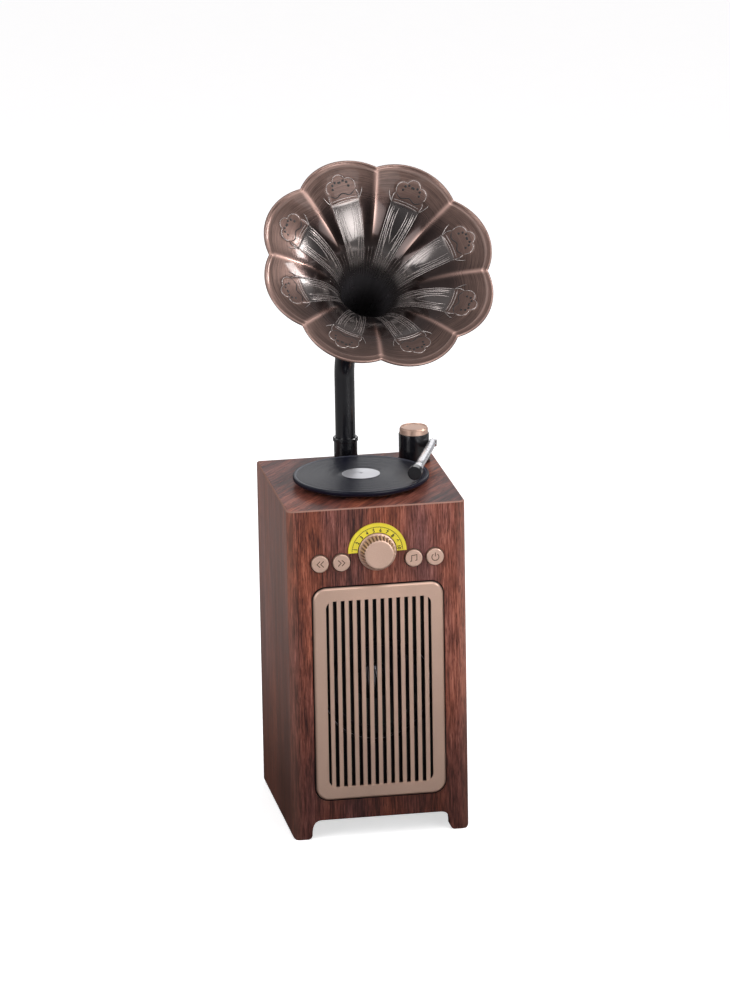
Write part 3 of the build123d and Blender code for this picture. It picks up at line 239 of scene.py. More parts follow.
def wood_finish(look):
    """Red-brown film with an upright grain, askew on the level faces; black inside the grille's recess;
    painted highlights on the chamfers and the upright corners, and painted shade towards the foot.

    The tone is a sum of the sine of a broad figure, long streaks, fine fibres and the figure itself.
    """
    # colour of the painted highlights on the chamfers and the upright corners
    highlight_tone = (0.36, 0.20, 0.155)
    recess_gap = 1.2 * MM
    recess_step = 0.4 * MM
    made, tree, coords = new_finish("rosewood_film", Specular_IOR_Level=0.25)
    normal = add_node(tree, "TexCoord").outputs["Normal"]
    facing_up = maths(tree, "ABSOLUTE", axes(tree, normal)[2])
    askew = stretched(tree, coords, (1, 1, 1), (0, 0, radians(38)))
    lying = stretched(tree, askew, (1, 1, 1), (radians(90), 0, 0))
    is_level = ramp(tree, facing_up, [(0.80, 0.0), (0.86, 1.0)])
    along = add_node(tree, "Mix", {0: is_level, 4: coords, 5: lying}, data_type="VECTOR").outputs[1]

    size = 1 / look.figure_size
    figure = noise(tree, stretched(tree, along, (size, size, size * 0.13)), 1, 3, 0.5, 0.9)
    rings = maths(tree, "SINE", times(tree, figure, 60))
    streaks = noise(tree, stretched(tree, along, (210, 210, 11)), 1, 5, 0.65, 0.3)
    fibres = noise(tree, stretched(tree, along, (1050, 1050, 58)), 1, 4, 0.75, 0.2)
    pores = noise(tree, stretched(tree, along, (1500, 1500, 120)), 1, 2, 0.6)
    tone = plus(tree, times(tree, rings, 0.055), streaks)
    tone = plus(tree, tone, times(tree, minus(tree, fibres, 0.5), 1.55))
    tone = plus(tree, tone, times(tree, minus(tree, figure, 0.5), 0.8))
    shades = ramp(tree, tone, [(0.24, look.wood_dark), (0.44, look.wood_mid),
                               (0.60, scaled(look.wood_mid, 1.7)), (0.86, look.wood_light)])
    tint = ramp(tree, noise(tree, stretched(tree, along, (34, 34, 7)), 1, 2),
                [(0.36, (0.88, 1.0, 1.22)), (0.64, (1.18, 1.0, 0.80))])
    shades = mixed(tree, 1.0, shades, tint, "MULTIPLY")
    pore_mask = ramp(tree, pores, [(0.56, 0.0), (0.64, 1.0)])
    shades = mixed(tree, times(tree, pore_mask, 0.70), shades, tuple(look.wood_dark))
    # painted highlight on the chamfers round the level faces
    rubbed_and_highlight = ramp(tree, facing_up, [(0.45, 0.0), (0.55, 0.75), (0.80, 0.75), (0.90, 0.0)])
    shades = mixed(tree, rubbed_and_highlight, shades, highlight_tone)
    # painted highlight, paler towards the upright corners
    place = axes(tree, coords)
    sideways = maths(tree, "ABSOLUTE", place[0])
    near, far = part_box("front_board")
    highlight_share = ramp(tree, over(tree, sideways, far.x), [(0.88, 0.0), (0.985, 0.30)])
    is_upright = maths(tree, "LESS_THAN", facing_up, 0.4)
    shades = mixed(tree, times(tree, highlight_share, is_upright), shades, highlight_tone)
    # painted shade, darker towards the foot
    foot = ramp(tree, over(tree, place[2], far.z), [(0.15, 0.42), (0.42, 0.0)])
    shades = mixed(tree, foot, shades, scaled(look.wood_dark, 1.2))
    # the sunk field behind the grille is painted black
    low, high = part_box("grille")
    inside = maths(tree, "LESS_THAN", sideways, high.x + recess_gap)
    limits = (("GREATER_THAN", 2, low.z - recess_gap), ("LESS_THAN", 2, high.z + recess_gap),
              ("GREATER_THAN", 1, near.y + recess_step))
    for operation, axis, limit in limits:
        inside = times(tree, inside, maths(tree, operation, place[axis], limit))
    shades = mixed(tree, inside, shades, (0.006, 0.005, 0.005))
    gloss = ramp(tree, fibres, [(0.3, 0.34), (0.7, 0.50)])
    height = minus(tree, fibres, times(tree, pore_mask, 0.6))
    return drive(made, Base_Color=shades, Roughness=gloss, Normal=bumped(tree, height, 0.35, 0.12 * MM))


def board_finish():
    """Dark fibreboard: short matted fibres and a dull surface."""
    made, tree, coords = new_finish("dark_fibreboard")
    fibres = noise(tree, stretched(tree, coords, (1400, 500, 1400)), 1, 4, 0.7, 0.8)
    specks = noise(tree, coords, 420, 3)
    shades = ramp(tree, fibres, [(0.3, (0.020, 0.013, 0.011)), (0.7, (0.075, 0.050, 0.040))])
    shades = mixed(tree, ramp(tree, specks, [(0.55, 0.0), (0.7, 0.5)]), shades, (0.11, 0.075, 0.06))
    gloss = ramp(tree, specks, [(0.3, 0.6), (0.7, 0.85)])
    return drive(made, Base_Color=shades, Roughness=gloss, Normal=bumped(tree, fibres, 0.4, 0.15 * MM))


def champagne_finish(look, name="champagne_metal", face=None, groove=None):
    """Satin champagne metal: sprayed fine sparkle and a slow change of tone.

    With a face, painted shade darkens the metal behind that depth, on the walls of the slots. With a groove,
    the attribute of that name is 1 in the flutes' hollows, where painted shade darkens the metal most.
    """
    made, tree, coords = new_finish(name, Metallic=0.6)
    slow = noise(tree, coords, 22, 2)
    sparkle = noise(tree, coords, 4200, 2)
    shades = ramp(tree, slow, [(0.3, scaled(look.champagne, 0.90)), (0.7, scaled(look.champagne, 1.07))])
    shades = mixed(tree, ramp(tree, sparkle, [(0.35, 0.0), (0.75, 0.35)]), shades, (0.85, 0.68, 0.58))
    if face is not None:
        # painted shade on the walls of the grille's slots, darker with depth behind the face
        slot_depth = 2 * MM
        depth = minus(tree, axes(tree, coords)[1], face)
        slot_shade = ramp(tree, times(tree, depth, 1 / slot_depth), [(0.30, 0.0), (0.75, 0.97)])
        shades = mixed(tree, slot_shade, shades, (0.018, 0.010, 0.008))
    # painted shade in the hollows of the knob's flutes
    if groove is not None:
        share = times(tree, attribute(tree, groove), 0.72)
        shades = mixed(tree, share, shades, (0.10, 0.055, 0.040))
    gloss = ramp(tree, sparkle, [(0.3, 0.34), (0.7, 0.46)])
    return drive(made, Base_Color=shades, Roughness=gloss, Normal=bumped(tree, sparkle, 0.12, 0.04 * MM))


def spun_finish(name, base, rough, pitch, anisotropy, highlight_at=None, **values):
    """Turned on a lathe: fine rings, that pitch in mm, round the record's upright middle.

    The ring at the radius given in mm for the highlight gets a painted pale highlight.
    """
    made, tree, coords = new_finish(name, Anisotropic=anisotropy, **values)
    low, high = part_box("record")
    middle = (-(low.x + high.x) / 2, -(low.y + high.y) / 2, 0)
    centred = add_node(tree, "Mapping", {"Vector": coords, "Location": middle}).outputs[0]
    place = axes(tree, centred)
    squares = plus(tree, maths(tree, "POWER", place[0], 2), maths(tree, "POWER", place[1], 2))
    reach = maths(tree, "SQRT", squares)
    lines = noise(tree, add_node(tree, "CombineXYZ", {0: reach}).outputs[0], 1000 / pitch, 3, 0.7)
    shades = ramp(tree, lines, [(0.3, scaled(base, 0.82)), (0.7, base)])
    # painted highlight: a pale ring near the record's rim
    if highlight_at is not None:
        highlight_share = 0.9
        half = 0.014
        share = over(tree, reach, highlight_at * MM / highlight_share)
        ring = ramp(tree, share, [(highlight_share - half, 0.0), (highlight_share, 0.55), (highlight_share + half, 0.0)])
        shades = mixed(tree, ring, shades, (0.20, 0.21, 0.26))
    gloss = ramp(tree, lines, [(0.3, rough - 0.05), (0.7, rough + 0.06)])
    tangent = add_node(tree, "Tangent", direction_type="RADIAL", axis="Z").outputs[0]
    return drive(made, Base_Color=shades, Roughness=gloss, Tangent=tangent,
                 Normal=bumped(tree, lines, 0.10, pitch * MM * 0.3))


def horn_finish(look):
    """Antique copper: brushed along the rim, black and glossy further in through painted shade, polished
    leaves, rubbed creases with a painted highlight.

    The attribute reach is the distance from the axis as a share of the creases' reach at the rim.
    """
    made, tree, _ = new_finish("antique_copper", Coat_Weight=0.35, Coat_Roughness=0.06)
    reach = attribute(tree, "reach")
    # less metal towards the throat, so that its painted shade shows
    metal = ramp(tree, reach, [(0.20, 0.0), (0.42, 0.92)])
    grid = add_node(tree, "UVMap", uv_map="sheet").outputs[0]
    brushed = noise(tree, stretched(tree, grid, (13, 125, 1)), 1, 5, 0.7)
    cloud = noise(tree, stretched(tree, grid, (40, 10, 1)), 1, 3, 0.5)
    # the near black in the throat is painted shade
    shades = ramp(tree, reach, [
        (0.22, look.throat), (0.34, scaled(look.middle, 0.45)), (0.50, scaled(look.middle, 0.75)),
        (0.68, look.middle), (0.86, look.rim), (1.0, scaled(look.rim, 1.15)),
    ])
    at_rim = ramp(tree, reach, [(0.60, 0.15), (0.86, 1.0)])
    streak = times(tree, minus(tree, brushed, 0.5), at_rim)
    shade = plus(tree, 1.0, times(tree, streak, 3.0))
    shade = times(tree, shade, plus(tree, 0.66, times(tree, cloud, 0.68)))
    grey = add_node(tree, "CombineColor", {0: shade, 1: shade, 2: shade}).outputs[0]
    shades = mixed(tree, 1.0, shades, grey, "MULTIPLY")
    shades = mixed(tree, times(tree, attribute(tree, "leaf"), 0.85), shades, tuple(look.leaf))
    plate = times(tree, attribute(tree, "plate"), 0.24)
    shades = mixed(tree, plate, shades, scaled(look.crease, 0.45))
    # rubbed copper with a painted highlight along the creases; the rolled rim is rubbed too
    edge = times(tree, attribute(tree, "crease"), ramp(tree, reach, [(0.40, 0.0), (0.80, 0.72)]))
    shades = mixed(tree, edge, shades, tuple(look.crease))
    rough = ramp(tree, reach, [(0.25, 0.26), (0.42, 0.13), (0.66, 0.20), (0.84, 0.36), (1.0, 0.38)])
    rough = plus(tree, rough, times(tree, streak, 0.45))
    return drive(made, Base_Color=shades, Metallic=metal, Roughness=rough,
                 Normal=bumped(tree, streak, 0.6, 0.15 * MM))


def cone_finish():
    """Black paper cone of felted fibres."""
    made, tree, coords = new_finish("paper_cone")
    fibres = noise(tree, coords, 900, 5, 0.75, 1.2)
    shades = ramp(tree, fibres, [(0.3, 0.008), (0.7, 0.035)])
    gloss = ramp(tree, fibres, [(0.3, 0.55), (0.7, 0.8)])
    return drive(made, Base_Color=shades, Roughness=gloss, Normal=bumped(tree, fibres, 0.4, 0.2 * MM))


def circuit_finish():
    """Green lacquered board with a pattern of tracks."""
    made, tree, coords = new_finish("circuit_board", Coat_Weight=0.5)
    tracks = add_node(tree, "TexBrick", {
        "Vector": coords, "Color1": (0.02, 0.13, 0.05, 1), "Color2": (0.03, 0.18, 0.07, 1),
        "Mortar": (0.10, 0.32, 0.13, 1), "Scale": 260.0, "Mortar Size": 0.06,
    }).outputs[0]
    gloss = ramp(tree, noise(tree, coords, 500), [(0.3, 0.25), (0.7, 0.4)])
    return drive(made, Base_Color=tracks, Roughness=gloss)


# ---------------------------------------------------------------- mesh helpers

def box_mm(name):
    """Corners of a node's box in mm."""
    low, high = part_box(name)
    return np.array(low) / MM, np.array(high) / MM


def add_mesh(name, points, faces, finish, body, replaces=(), attributes=None, uv=None, sharp=None):
    """Writes points in mm and faces as a piece that rides on a body.

    It takes the place of the nodes it replaces. Faces that meet at more than sharp degrees have a sharp edge.
    """
    mesh = bpy.data.meshes.new(name)
    points = np.asarray(points, float)
    mesh.from_pydata((points * MM).tolist(), [], faces.tolist() if hasattr(faces, "tolist") else faces)
    for key, values in (attributes or {}).items():
        mesh.attributes.new(key, "FLOAT", "POINT").data.foreach_set("value", np.asarray(values, np.float32))
    if uv is not None:
        corners = np.zeros(len(mesh.loops), np.int32)
        mesh.loops.foreach_get("vertex_index", corners)
        layer = mesh.uv_layers.new(name="sheet")
        layer.data.foreach_set("uv", np.asarray(uv, np.float32)[corners].ravel())
    mesh.polygons.foreach_set("use_smooth", np.ones(len(mesh.polygons), bool))
    if sharp is not None:
        mesh.set_sharp_from_angle(angle=radians(sharp))
    mesh.materials.append(finish)
    mesh.update()
    piece = bpy.data.objects.new(name, mesh)
    bpy.context.scene.collection.objects.link(piece)
    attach(piece, body)
    if replaces:
        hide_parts(*replaces)
    return piece


def grid_faces(rows, columns, round_rows=False):
    """Quads of a grid of points; the last column joins the first, and the last row does too if round."""
    i = np.arange(rows if round_rows else rows - 1)[:, None]
    j = np.arange(columns)[None, :]
    here, next_row = i * columns, ((i + 1) % rows) * columns
    next_column = (j + 1) % columns
    return np.stack([here + j, here + next_column, next_row + next_column, next_row + j], -1).reshape(-1, 4)


def joined(parts):
    """Several (points, faces) as one; faces may be lists of different lengths."""
    points, faces, start = [], [], 0
    for part_points, part_faces in parts:
        part_points = np.asarray(part_points, float).reshape(-1, 3)
        points.append(part_points)
        faces += [[start + k for k in face] for face in part_faces]
        start += len(part_points)
    return np.concatenate(points), faces


def turned(profile, middle, along, across, columns, ripple=None):
    """Turns (radius, height) points round the line through middle; each end on the axis closes in one point.

    A point is middle + along * height + radius * (across * cos + third * sin), and third is along x across.
    ripple(turn, row) scales the radius.
    """
    profile = np.asarray(profile, float)
    along, across = np.asarray(along, float), np.asarray(across, float)
    third = np.cross(along, across)
    turn = np.arange(columns) * 2 * pi / columns
    spokes = np.cos(turn)[:, None] * across + np.sin(turn)[:, None] * third
    rings = profile[1:-1]
    radius = np.repeat(rings[:, :1], columns, 1)
    if ripple is not None:
        radius = radius * ripple(turn, np.arange(len(rings)))
    points = np.asarray(middle) + rings[:, 1][:, None, None] * along + radius[:, :, None] * spokes
    points = points.reshape(-1, 3)
    ends = [np.asarray(middle) + along * profile[k, 1] for k in (0, -1)]
    faces = grid_faces(len(rings), columns)[:, ::-1].tolist()
    first, last, top = len(points), len(points) + 1, (len(rings) - 1) * columns
    faces += [[first, (k + 1) % columns, k] for k in range(columns)]
    faces += [[last, top + k, top + (k + 1) % columns] for k in range(columns)]
    return np.concatenate([points, ends]), [face[::-1] for face in faces]


def raised_lines(paths, normals, width, height, fade=0.125):
    """Ribs along many paths at once: an ellipse, width by height, carried along each, drawn in at its ends.

    paths and normals are (path, point, 3) arrays; fade is the share of a path over which an end is drawn in.
    """
    sides = 6
    count, length = paths.shape[:2]
    run = np.gradient(paths, axis=1)
    run /= np.linalg.norm(run, axis=-1, keepdims=True)
    side = np.cross(normals, run)
    side /= np.linalg.norm(side, axis=-1, keepdims=True)
    share = np.linspace(0, 1, length)
    swell = np.clip(np.minimum(share, 1 - share) / fade, 0.12, 1)[None, :, None, None]
    turn = np.arange(sides) * 2 * pi / sides
    ring = (side[:, :, None] * np.cos(turn)[:, None] * width / 2
            + normals[:, :, None] * np.sin(turn)[:, None] * height)
    points = (paths[:, :, None] + ring * swell).reshape(-1, 3)
    one = grid_faces(length, sides)
    step = length * sides
    faces = (one[None] + (np.arange(count) * step)[:, None, None]).reshape(-1, 4).tolist()
    for k in range(count):
        faces.append([k * step + j for j in range(sides)][::-1])
        faces.append([k * step + step - sides + j for j in range(sides)])
    return points, faces


def outward(piece):
    """Turns a closed piece's faces outwards."""
    work = bmesh.new()
    work.from_mesh(piece.data)
    bmesh.ops.recalc_face_normals(work, faces=work.faces)
    work.to_mesh(piece.data)
    work.free()


def figure_outline(text, size):
    """A printed figure as flat faces in mm, centred on its middle."""
    curve = bpy.data.curves.new("figure", "FONT")
    curve.body = text
    curve.size = size
    curve.offset = 0.03 * size
    curve.align_x = "CENTER"
    curve.align_y = "CENTER"
    holder = bpy.data.objects.new("figure", curve)
    bpy.context.scene.collection.objects.link(holder)
    bpy.context.view_layer.update()
    mesh = bpy.data.meshes.new_from_object(holder.evaluated_get(bpy.context.evaluated_depsgraph_get()))
    points = np.array([vertex.co for vertex in mesh.vertices])
    faces = [list(face.vertices) for face in mesh.polygons]
    bpy.data.objects.remove(holder)
    bpy.data.curves.remove(curve)
    bpy.data.meshes.remove(mesh)
    return points, faces


def stroke(points, width):
    """A flat band of that width along 2-D points, with mitred corners.

    Each edge lies half the width away, along the normal of the two runs' mean, and further out at a corner.
    """
    points = np.asarray(points, float)
    before = np.vstack([2 * points[0] - points[1], points[:-1]])
    after = np.vstack([points[1:], 2 * points[-1] - points[-2]])
    first, second = points - before, after - points
    first /= np.linalg.norm(first, axis=1, keepdims=True)
    second /= np.linalg.norm(second, axis=1, keepdims=True)
    run = first + second
    run /= np.linalg.norm(run, axis=1, keepdims=True)
    side = np.stack([-run[:, 1], run[:, 0]], 1) / np.clip((run * second).sum(1), 0.4, 1)[:, None]
    edge = np.concatenate([points - side * width / 2, points + side * width / 2])
    count = len(points)
    faces = [[k, k + 1, count + k + 1, count + k] for k in range(count - 1)]
    return np.column_stack([edge, np.zeros(len(edge))]), faces


def printed(shapes, spot, depth):
    """Flat shapes on a wall that faces the front; each gets that thickness backwards, with its sides closed.

    A shape's x runs right and its y up; spot is the place of its zero on the surface.
    """
    parts = []
    for points, faces in shapes:
        flat = np.asarray(points, float)
        top = np.column_stack([spot[0] + flat[:, 0], np.full(len(flat), spot[1]), spot[2] + flat[:, 1]])
        back = top + np.array([0, depth, 0])
        count = len(flat)
        sides = {}
        for face in faces:
            for a, b in zip(face, face[1:] + face[:1]):
                if (b, a) in sides:
                    del sides[b, a]
                else:
                    sides[a, b] = True
        walls = [[b, a, a + count, b + count] for a, b in sides]
        behind = [[k + count for k in face][::-1] for face in faces]
        parts.append((np.concatenate([top, back]), faces + behind + walls))
    return joined(parts)


# ---------------------------------------------------------------- horn

PETALS = 8
FIRST_CREASE = radians(80)      # turn of the first crease round the axis
HORN_RISE = radians(42.9)       # axis above the horizon
HORN_TURN = radians(5.2)        # axis to the right of straight ahead
ELBOW = np.array([0, 52.0, 291.3])
RIM_DISTANCE = 125.0            # elbow to the middle of the rim
BELL_DEPTH = 88.0               # rim to the end of the throat
NOTCH_RADIUS = 70.75            # axis to a crease at the rim
PETAL_RADIUS = 77.0             # axis to a petal's crown at the rim
THROAT_RADIUS = 9.2
FLARE_LENGTH = 22.0             # depth in which the flare falls to a share of 1/e
PETAL_FADE = 34.0               # the same of the petals' bulge
SHEET_ACROSS = 0.6              # sheet's thickness, across the axis and along it
SHEET_ALONG = 0.8
BEAD = 0.95                     # radius of the rolled rim
CREASE_HALF = 1.35              # half width of the rubbed line with a painted highlight along a crease
PETAL_COLUMNS = 64
INNER_ROWS = 112
BEAD_ROWS = 12
OUTER_ROWS = 44

HORN_AXIS = np.array([cos(HORN_RISE) * sin(HORN_TURN), -cos(HORN_RISE) * cos(HORN_TURN), sin(HORN_RISE)])
HORN_RIGHT = np.array([cos(HORN_TURN), sin(HORN_TURN), 0])
HORN_UP = np.cross(HORN_AXIS, HORN_RIGHT)
RIM_CENTRE = ELBOW + RIM_DISTANCE * HORN_AXIS


def lobed_radius(local, depth):
    """Distance from the horn's axis to a petal's outline; local is the angle from the petal's middle.

    The creases' radius falls off as an exponential of depth. Between two creases the outline is the circle
    through both of them and the petal's crown, which stands out by a share that fades with depth.
    """
    notch = THROAT_RADIUS + (NOTCH_RADIUS - THROAT_RADIUS) * np.exp(-depth / FLARE_LENGTH)
    crown = notch * (1 + (PETAL_RADIUS / NOTCH_RADIUS - 1) * np.exp(-depth / PETAL_FADE))
    centre = (crown ** 2 - notch ** 2) / (2 * (crown - notch * cos(pi / PETALS)))
    return centre * np.cos(local) + np.sqrt((crown - centre) ** 2 - (centre * np.sin(local)) ** 2)


def horn_point(turn, radius, depth):
    """Place of a point by its turn round the horn, distance from the axis and depth behind the rim."""
    spoke = np.cos(turn)[..., None] * HORN_RIGHT + np.sin(turn)[..., None] * HORN_UP
    return RIM_CENTRE - depth[..., None] * HORN_AXIS + radius[..., None] * spoke


def inside_radius(local, depth):
    """The same for the inner face: the outline a little deeper, taken in by the sheet's thickness."""
    return lobed_radius(local, depth + SHEET_ALONG) - SHEET_ACROSS


def inside_depth(local, radius):
    """Depth at which the inner face has that radius, by halving the interval."""
    halvings = 40
    low = np.zeros_like(radius)
    high = np.full_like(radius, BELL_DEPTH)
    for _ in range(halvings):
        middle = (low + high) / 2
        wide = inside_radius(local, middle) > radius
        low, high = np.where(wide, middle, low), np.where(wide, high, middle)
    return (low + high) / 2


def inside_place(petal, across, out):
    """Point and normal of the inner face: across a petal's middle line and out from the axis."""
    local = np.arctan2(across, out)
    radius = np.hypot(across, out)
    turn = FIRST_CREASE + 2 * pi / PETALS * (petal + 0.5) + local
    depth = inside_depth(local, radius)

    def at(shift_turn, shift_depth):
        new_depth = depth + shift_depth
        return horn_point(turn + shift_turn, inside_radius(local + shift_turn, new_depth), new_depth)

    step = 0.01
    normal = np.cross(at(step, 0) - at(-step, 0), at(0, step * 10) - at(0, -step * 10))
    normal /= np.linalg.norm(normal, axis=-1, keepdims=True)
    normal *= np.sign(normal @ HORN_AXIS)[..., None]
    return at(0, 0), normal


def on_petals(across, out, lift=0.0):
    """Paths and normals of lines on every petal's inner face, raised by lift; each line has its own row."""
    across, out = np.atleast_2d(across), np.atleast_2d(out)
    found = [inside_place(petal, across, out) for petal in range(PETALS)]
    places, normals = (np.concatenate(part) for part in zip(*found))
    return places + normals * lift, normals


CURVE_POINTS = 28


def bowed(start, end, bow):
    """A curve from start to end that stands out sideways by bow in its middle, as a parabola."""
    share = np.linspace(0, 1, CURVE_POINTS)[:, None]
    start, end = np.array(start, float), np.array(end, float)
    run = end - start
    side = np.array([run[1], -run[0]]) / np.hypot(*run)
    return start + run * share + side * bow * 4 * share * (1 - share)


CROWN_FOOT = 57.0               # axis to the foot of the crown
BAND_FOOT = 51.0                # axis to the foot of the band under the crown
BAND_HALF = 9.6
LEAF_FOOT = 18.0                # axis to the foot of the leaves
LEAF_HALF = 4.4                 # half width of the leaves at their foot


def crown_reach(angle):
    """Scalloped top of the ornament: three lobes round its foot."""
    return 8.6 + 2.5 * np.abs(np.sin(3 * angle)) ** 0.7


def ornament():
    """Raised lines of a petal, as (across, out) curves: leaves, band, tendrils and a three-lobed crown."""
    half = [
        bowed((4.3, LEAF_FOOT), (BAND_HALF - 0.3, BAND_FOOT), 0.7),
        bowed((3.0, 18.5), (7.3, 49.0), 0.9),
        bowed((1.7, 19.5), (4.9, 46.5), 0.2),
        bowed((0.5, 22.0), (6.1, 49.5), 1.9),
        bowed((0.2, 30.0), (3.0, 49.5), 1.3),
        bowed((7.3, 49.0), (6.1, 38.0), -0.7),
    ]
    band_edge = BAND_HALF - 0.3
    share = np.linspace(0, 1, CURVE_POINTS)
    tendril = BAND_FOOT + 6.4 * share ** 1.7 + 0.6 * np.sin(4.6 * share)
    half.append(np.column_stack([band_edge + 4.4 * share ** 0.8, tendril]))
    lines = half + [line * (-1, 1) for line in half]
    across = np.linspace(-BAND_HALF, BAND_HALF, CURVE_POINTS)
    for rise, sag in ((1.1, 1.3), (2.6, 1.0)):
        lines.append(np.column_stack([across, BAND_FOOT + rise - sag * (across / BAND_HALF) ** 2]))
    for side in (-1, 1):
        edge = side * (band_edge + 0.8 * np.sin(share * pi))
        lines.append(np.column_stack([edge, BAND_FOOT + (CROWN_FOOT - BAND_FOOT) * share]))
    for start, end in ((2, 62), (58, 122), (118, 178)):
        angle = np.radians(np.linspace(start, end, CURVE_POINTS))
        reach = crown_reach(angle)
        lines.append(np.column_stack([reach * np.cos(angle) * 0.98, CROWN_FOOT + reach * np.sin(angle)]))
    return np.stack(lines)


def pin_pricks():
    """Places of the small dark dots: an arch of four in each of the crown's two upper lobes."""
    spots = []
    for middle in (58, 122):
        for step in (-1.5, -0.5, 0.5, 1.5):
            angle = radians(middle + 19 * step)
            reach = 8.0 - 1.1 * abs(step)
            spots.append((reach * cos(angle), CROWN_FOOT + reach * sin(angle)))
    return np.array(spots)


def dark_wave():
    """The dark wavy line between the crown and the band."""
    across = np.linspace(-BAND_HALF, BAND_HALF, CURVE_POINTS)
    return np.column_stack([across, CROWN_FOOT - 1.2 + 0.9 * np.cos(across * 2 * pi / BAND_HALF)])


def smooth_step(value, edge):
    """0 to 1 as value goes from -edge to edge."""
    share = np.clip(value / edge / 2 + 0.5, 0, 1)
    return share * share * (3 - 2 * share)


def plate_share(across, out):
    """Shares by which the sheet is pressed up: under the crown and its band, and under the leaves."""
    angle = np.arctan2(out - CROWN_FOOT, across)
    above = smooth_step(crown_reach(np.clip(angle, 0, pi)) - np.hypot(across, out - CROWN_FOOT), 0.6)
    crown = above * smooth_step(out - CROWN_FOOT + 0.5, 0.5)
    sideways = np.abs(across)
    band = smooth_step(out - BAND_FOOT, 0.6) * smooth_step(CROWN_FOOT - out, 0.6)
    band = smooth_step(BAND_HALF - sideways, 0.6) * band
    half = LEAF_HALF + (BAND_HALF - LEAF_HALF) * (out - LEAF_FOOT) / (BAND_FOOT - LEAF_FOOT)
    leaves = smooth_step(out - LEAF_FOOT - 2, 1.5) * smooth_step(BAND_FOOT + 0.5 - out, 0.6)
    return np.maximum(crown, band), smooth_step(half - sideways, 0.8) * leaves


def horn_sheet(relief):
    """Closed shell of the horn: inner face from throat to rim, rolled bead, outer face back to the throat.

    A row is the outline at one depth. A column is one turn round the axis; they lie closer at the creases.
    Under the ornament, the inner face stands out along its normal by a share of the relief.
    """
    crowding, leaf_share, bead_wear = 0.07, 0.6, 0.4
    per_petal = np.arange(PETAL_COLUMNS) / PETAL_COLUMNS * 2 - 1
    local_one = pi / PETALS * (per_petal - crowding * np.sin(2 * pi * per_petal))
    local = np.tile(local_one, PETALS)
    turn = np.concatenate([FIRST_CREASE + 2 * pi / PETALS * (k + 0.5) + local_one for k in range(PETALS)])

    # rows of the inner face lie evenly along its profile, wider apart in the throat
    table = np.linspace(BELL_DEPTH, 0.5, 2000)
    radii = inside_radius(np.zeros_like(table), table)
    weight = np.where(radii > LEAF_FOOT, 1.0, 0.3)
    length = np.concatenate([[0], np.cumsum(np.hypot(np.diff(table), np.diff(radii)) * weight[1:])])
    inner_depth = np.interp(np.linspace(0, length[-1], INNER_ROWS), length, table)
    bead_turn = np.radians(np.linspace(180, -80, BEAD_ROWS))
    behind_bead = 2.2
    outer_depth = behind_bead + (BELL_DEPTH - behind_bead) * np.linspace(0, 1, OUTER_ROWS) ** 1.4

    inner = inside_radius(local[None], inner_depth[:, None])
    edge = lobed_radius(local[None], np.zeros((1, 1)))
    bead = edge - BEAD + BEAD * np.cos(bead_turn)[:, None]
    outer = lobed_radius(local[None], outer_depth[:, None])
    radius = np.concatenate([inner, bead, outer])
    depth = np.concatenate([inner_depth, BEAD - BEAD * np.sin(bead_turn), outer_depth])
    depth = np.repeat(depth[:, None], len(turn), 1)
    turns = np.repeat(turn[None], len(radius), 0)
    points = horn_point(turns, radius, depth)

    plate, leaves = plate_share(radius * np.sin(local), radius * np.cos(local))
    row = np.arange(len(radius))[:, None]
    is_inner = row < INNER_ROWS
    plate, leaves = plate * is_inner, leaves * is_inner
    slope = np.gradient(points, axis=0)
    round_way = np.roll(points, -1, 1) - np.roll(points, 1, 1)
    normal = np.cross(round_way, slope)
    normal /= np.linalg.norm(normal, axis=-1, keepdims=True) + 1e-12
    normal *= np.sign(normal @ HORN_AXIS)[..., None]
    points = points + normal * (relief * (plate + leaf_share * leaves))[..., None]

    # crease marks the rubbed copper and painted highlight along the creases
    from_crease = radius * (pi / PETALS - np.abs(local))
    crease = np.exp(-(from_crease / CREASE_HALF) ** 2)
    outwards = np.repeat(np.linspace(0, 1.4, len(radius))[:, None], len(turn), 1)
    uv = np.stack([turns / (2 * pi), outwards], -1)
    on_bead = (row >= INNER_ROWS) & (row < INNER_ROWS + BEAD_ROWS)
    crease = np.maximum(crease, bead_wear * on_bead)
    faces = grid_faces(len(radius), len(turn), round_rows=True)
    values = {"reach": (radius / NOTCH_RADIUS).ravel(), "crease": crease.ravel(),
              "plate": plate.ravel(), "leaf": leaves.ravel()}
    return points.reshape(-1, 3), faces, uv.reshape(-1, 2), values


# ---------------------------------------------------------------- operators

def settings(context):
    """The looks of the cabinet, the horn, the deck and the stage."""
    scene = context.scene
    return scene.cabinet_look, scene.horn_look, scene.deck_look, scene.stage_look


def direction(azimuth, elevation):
    """Unit vector at that turn from the front towards the right, and at that angle above level."""
    return Vector((sin(azimuth) * cos(elevation), -cos(azimuth) * cos(elevation), sin(elevation)))


def paint(finish, *names):
    """Gives CAD nodes a finish."""
    for name in names:
        slots = NODES[name].data.materials
        if not len(slots):
            slots.append(finish)
        for k in range(len(slots)):
            slots[k] = finish


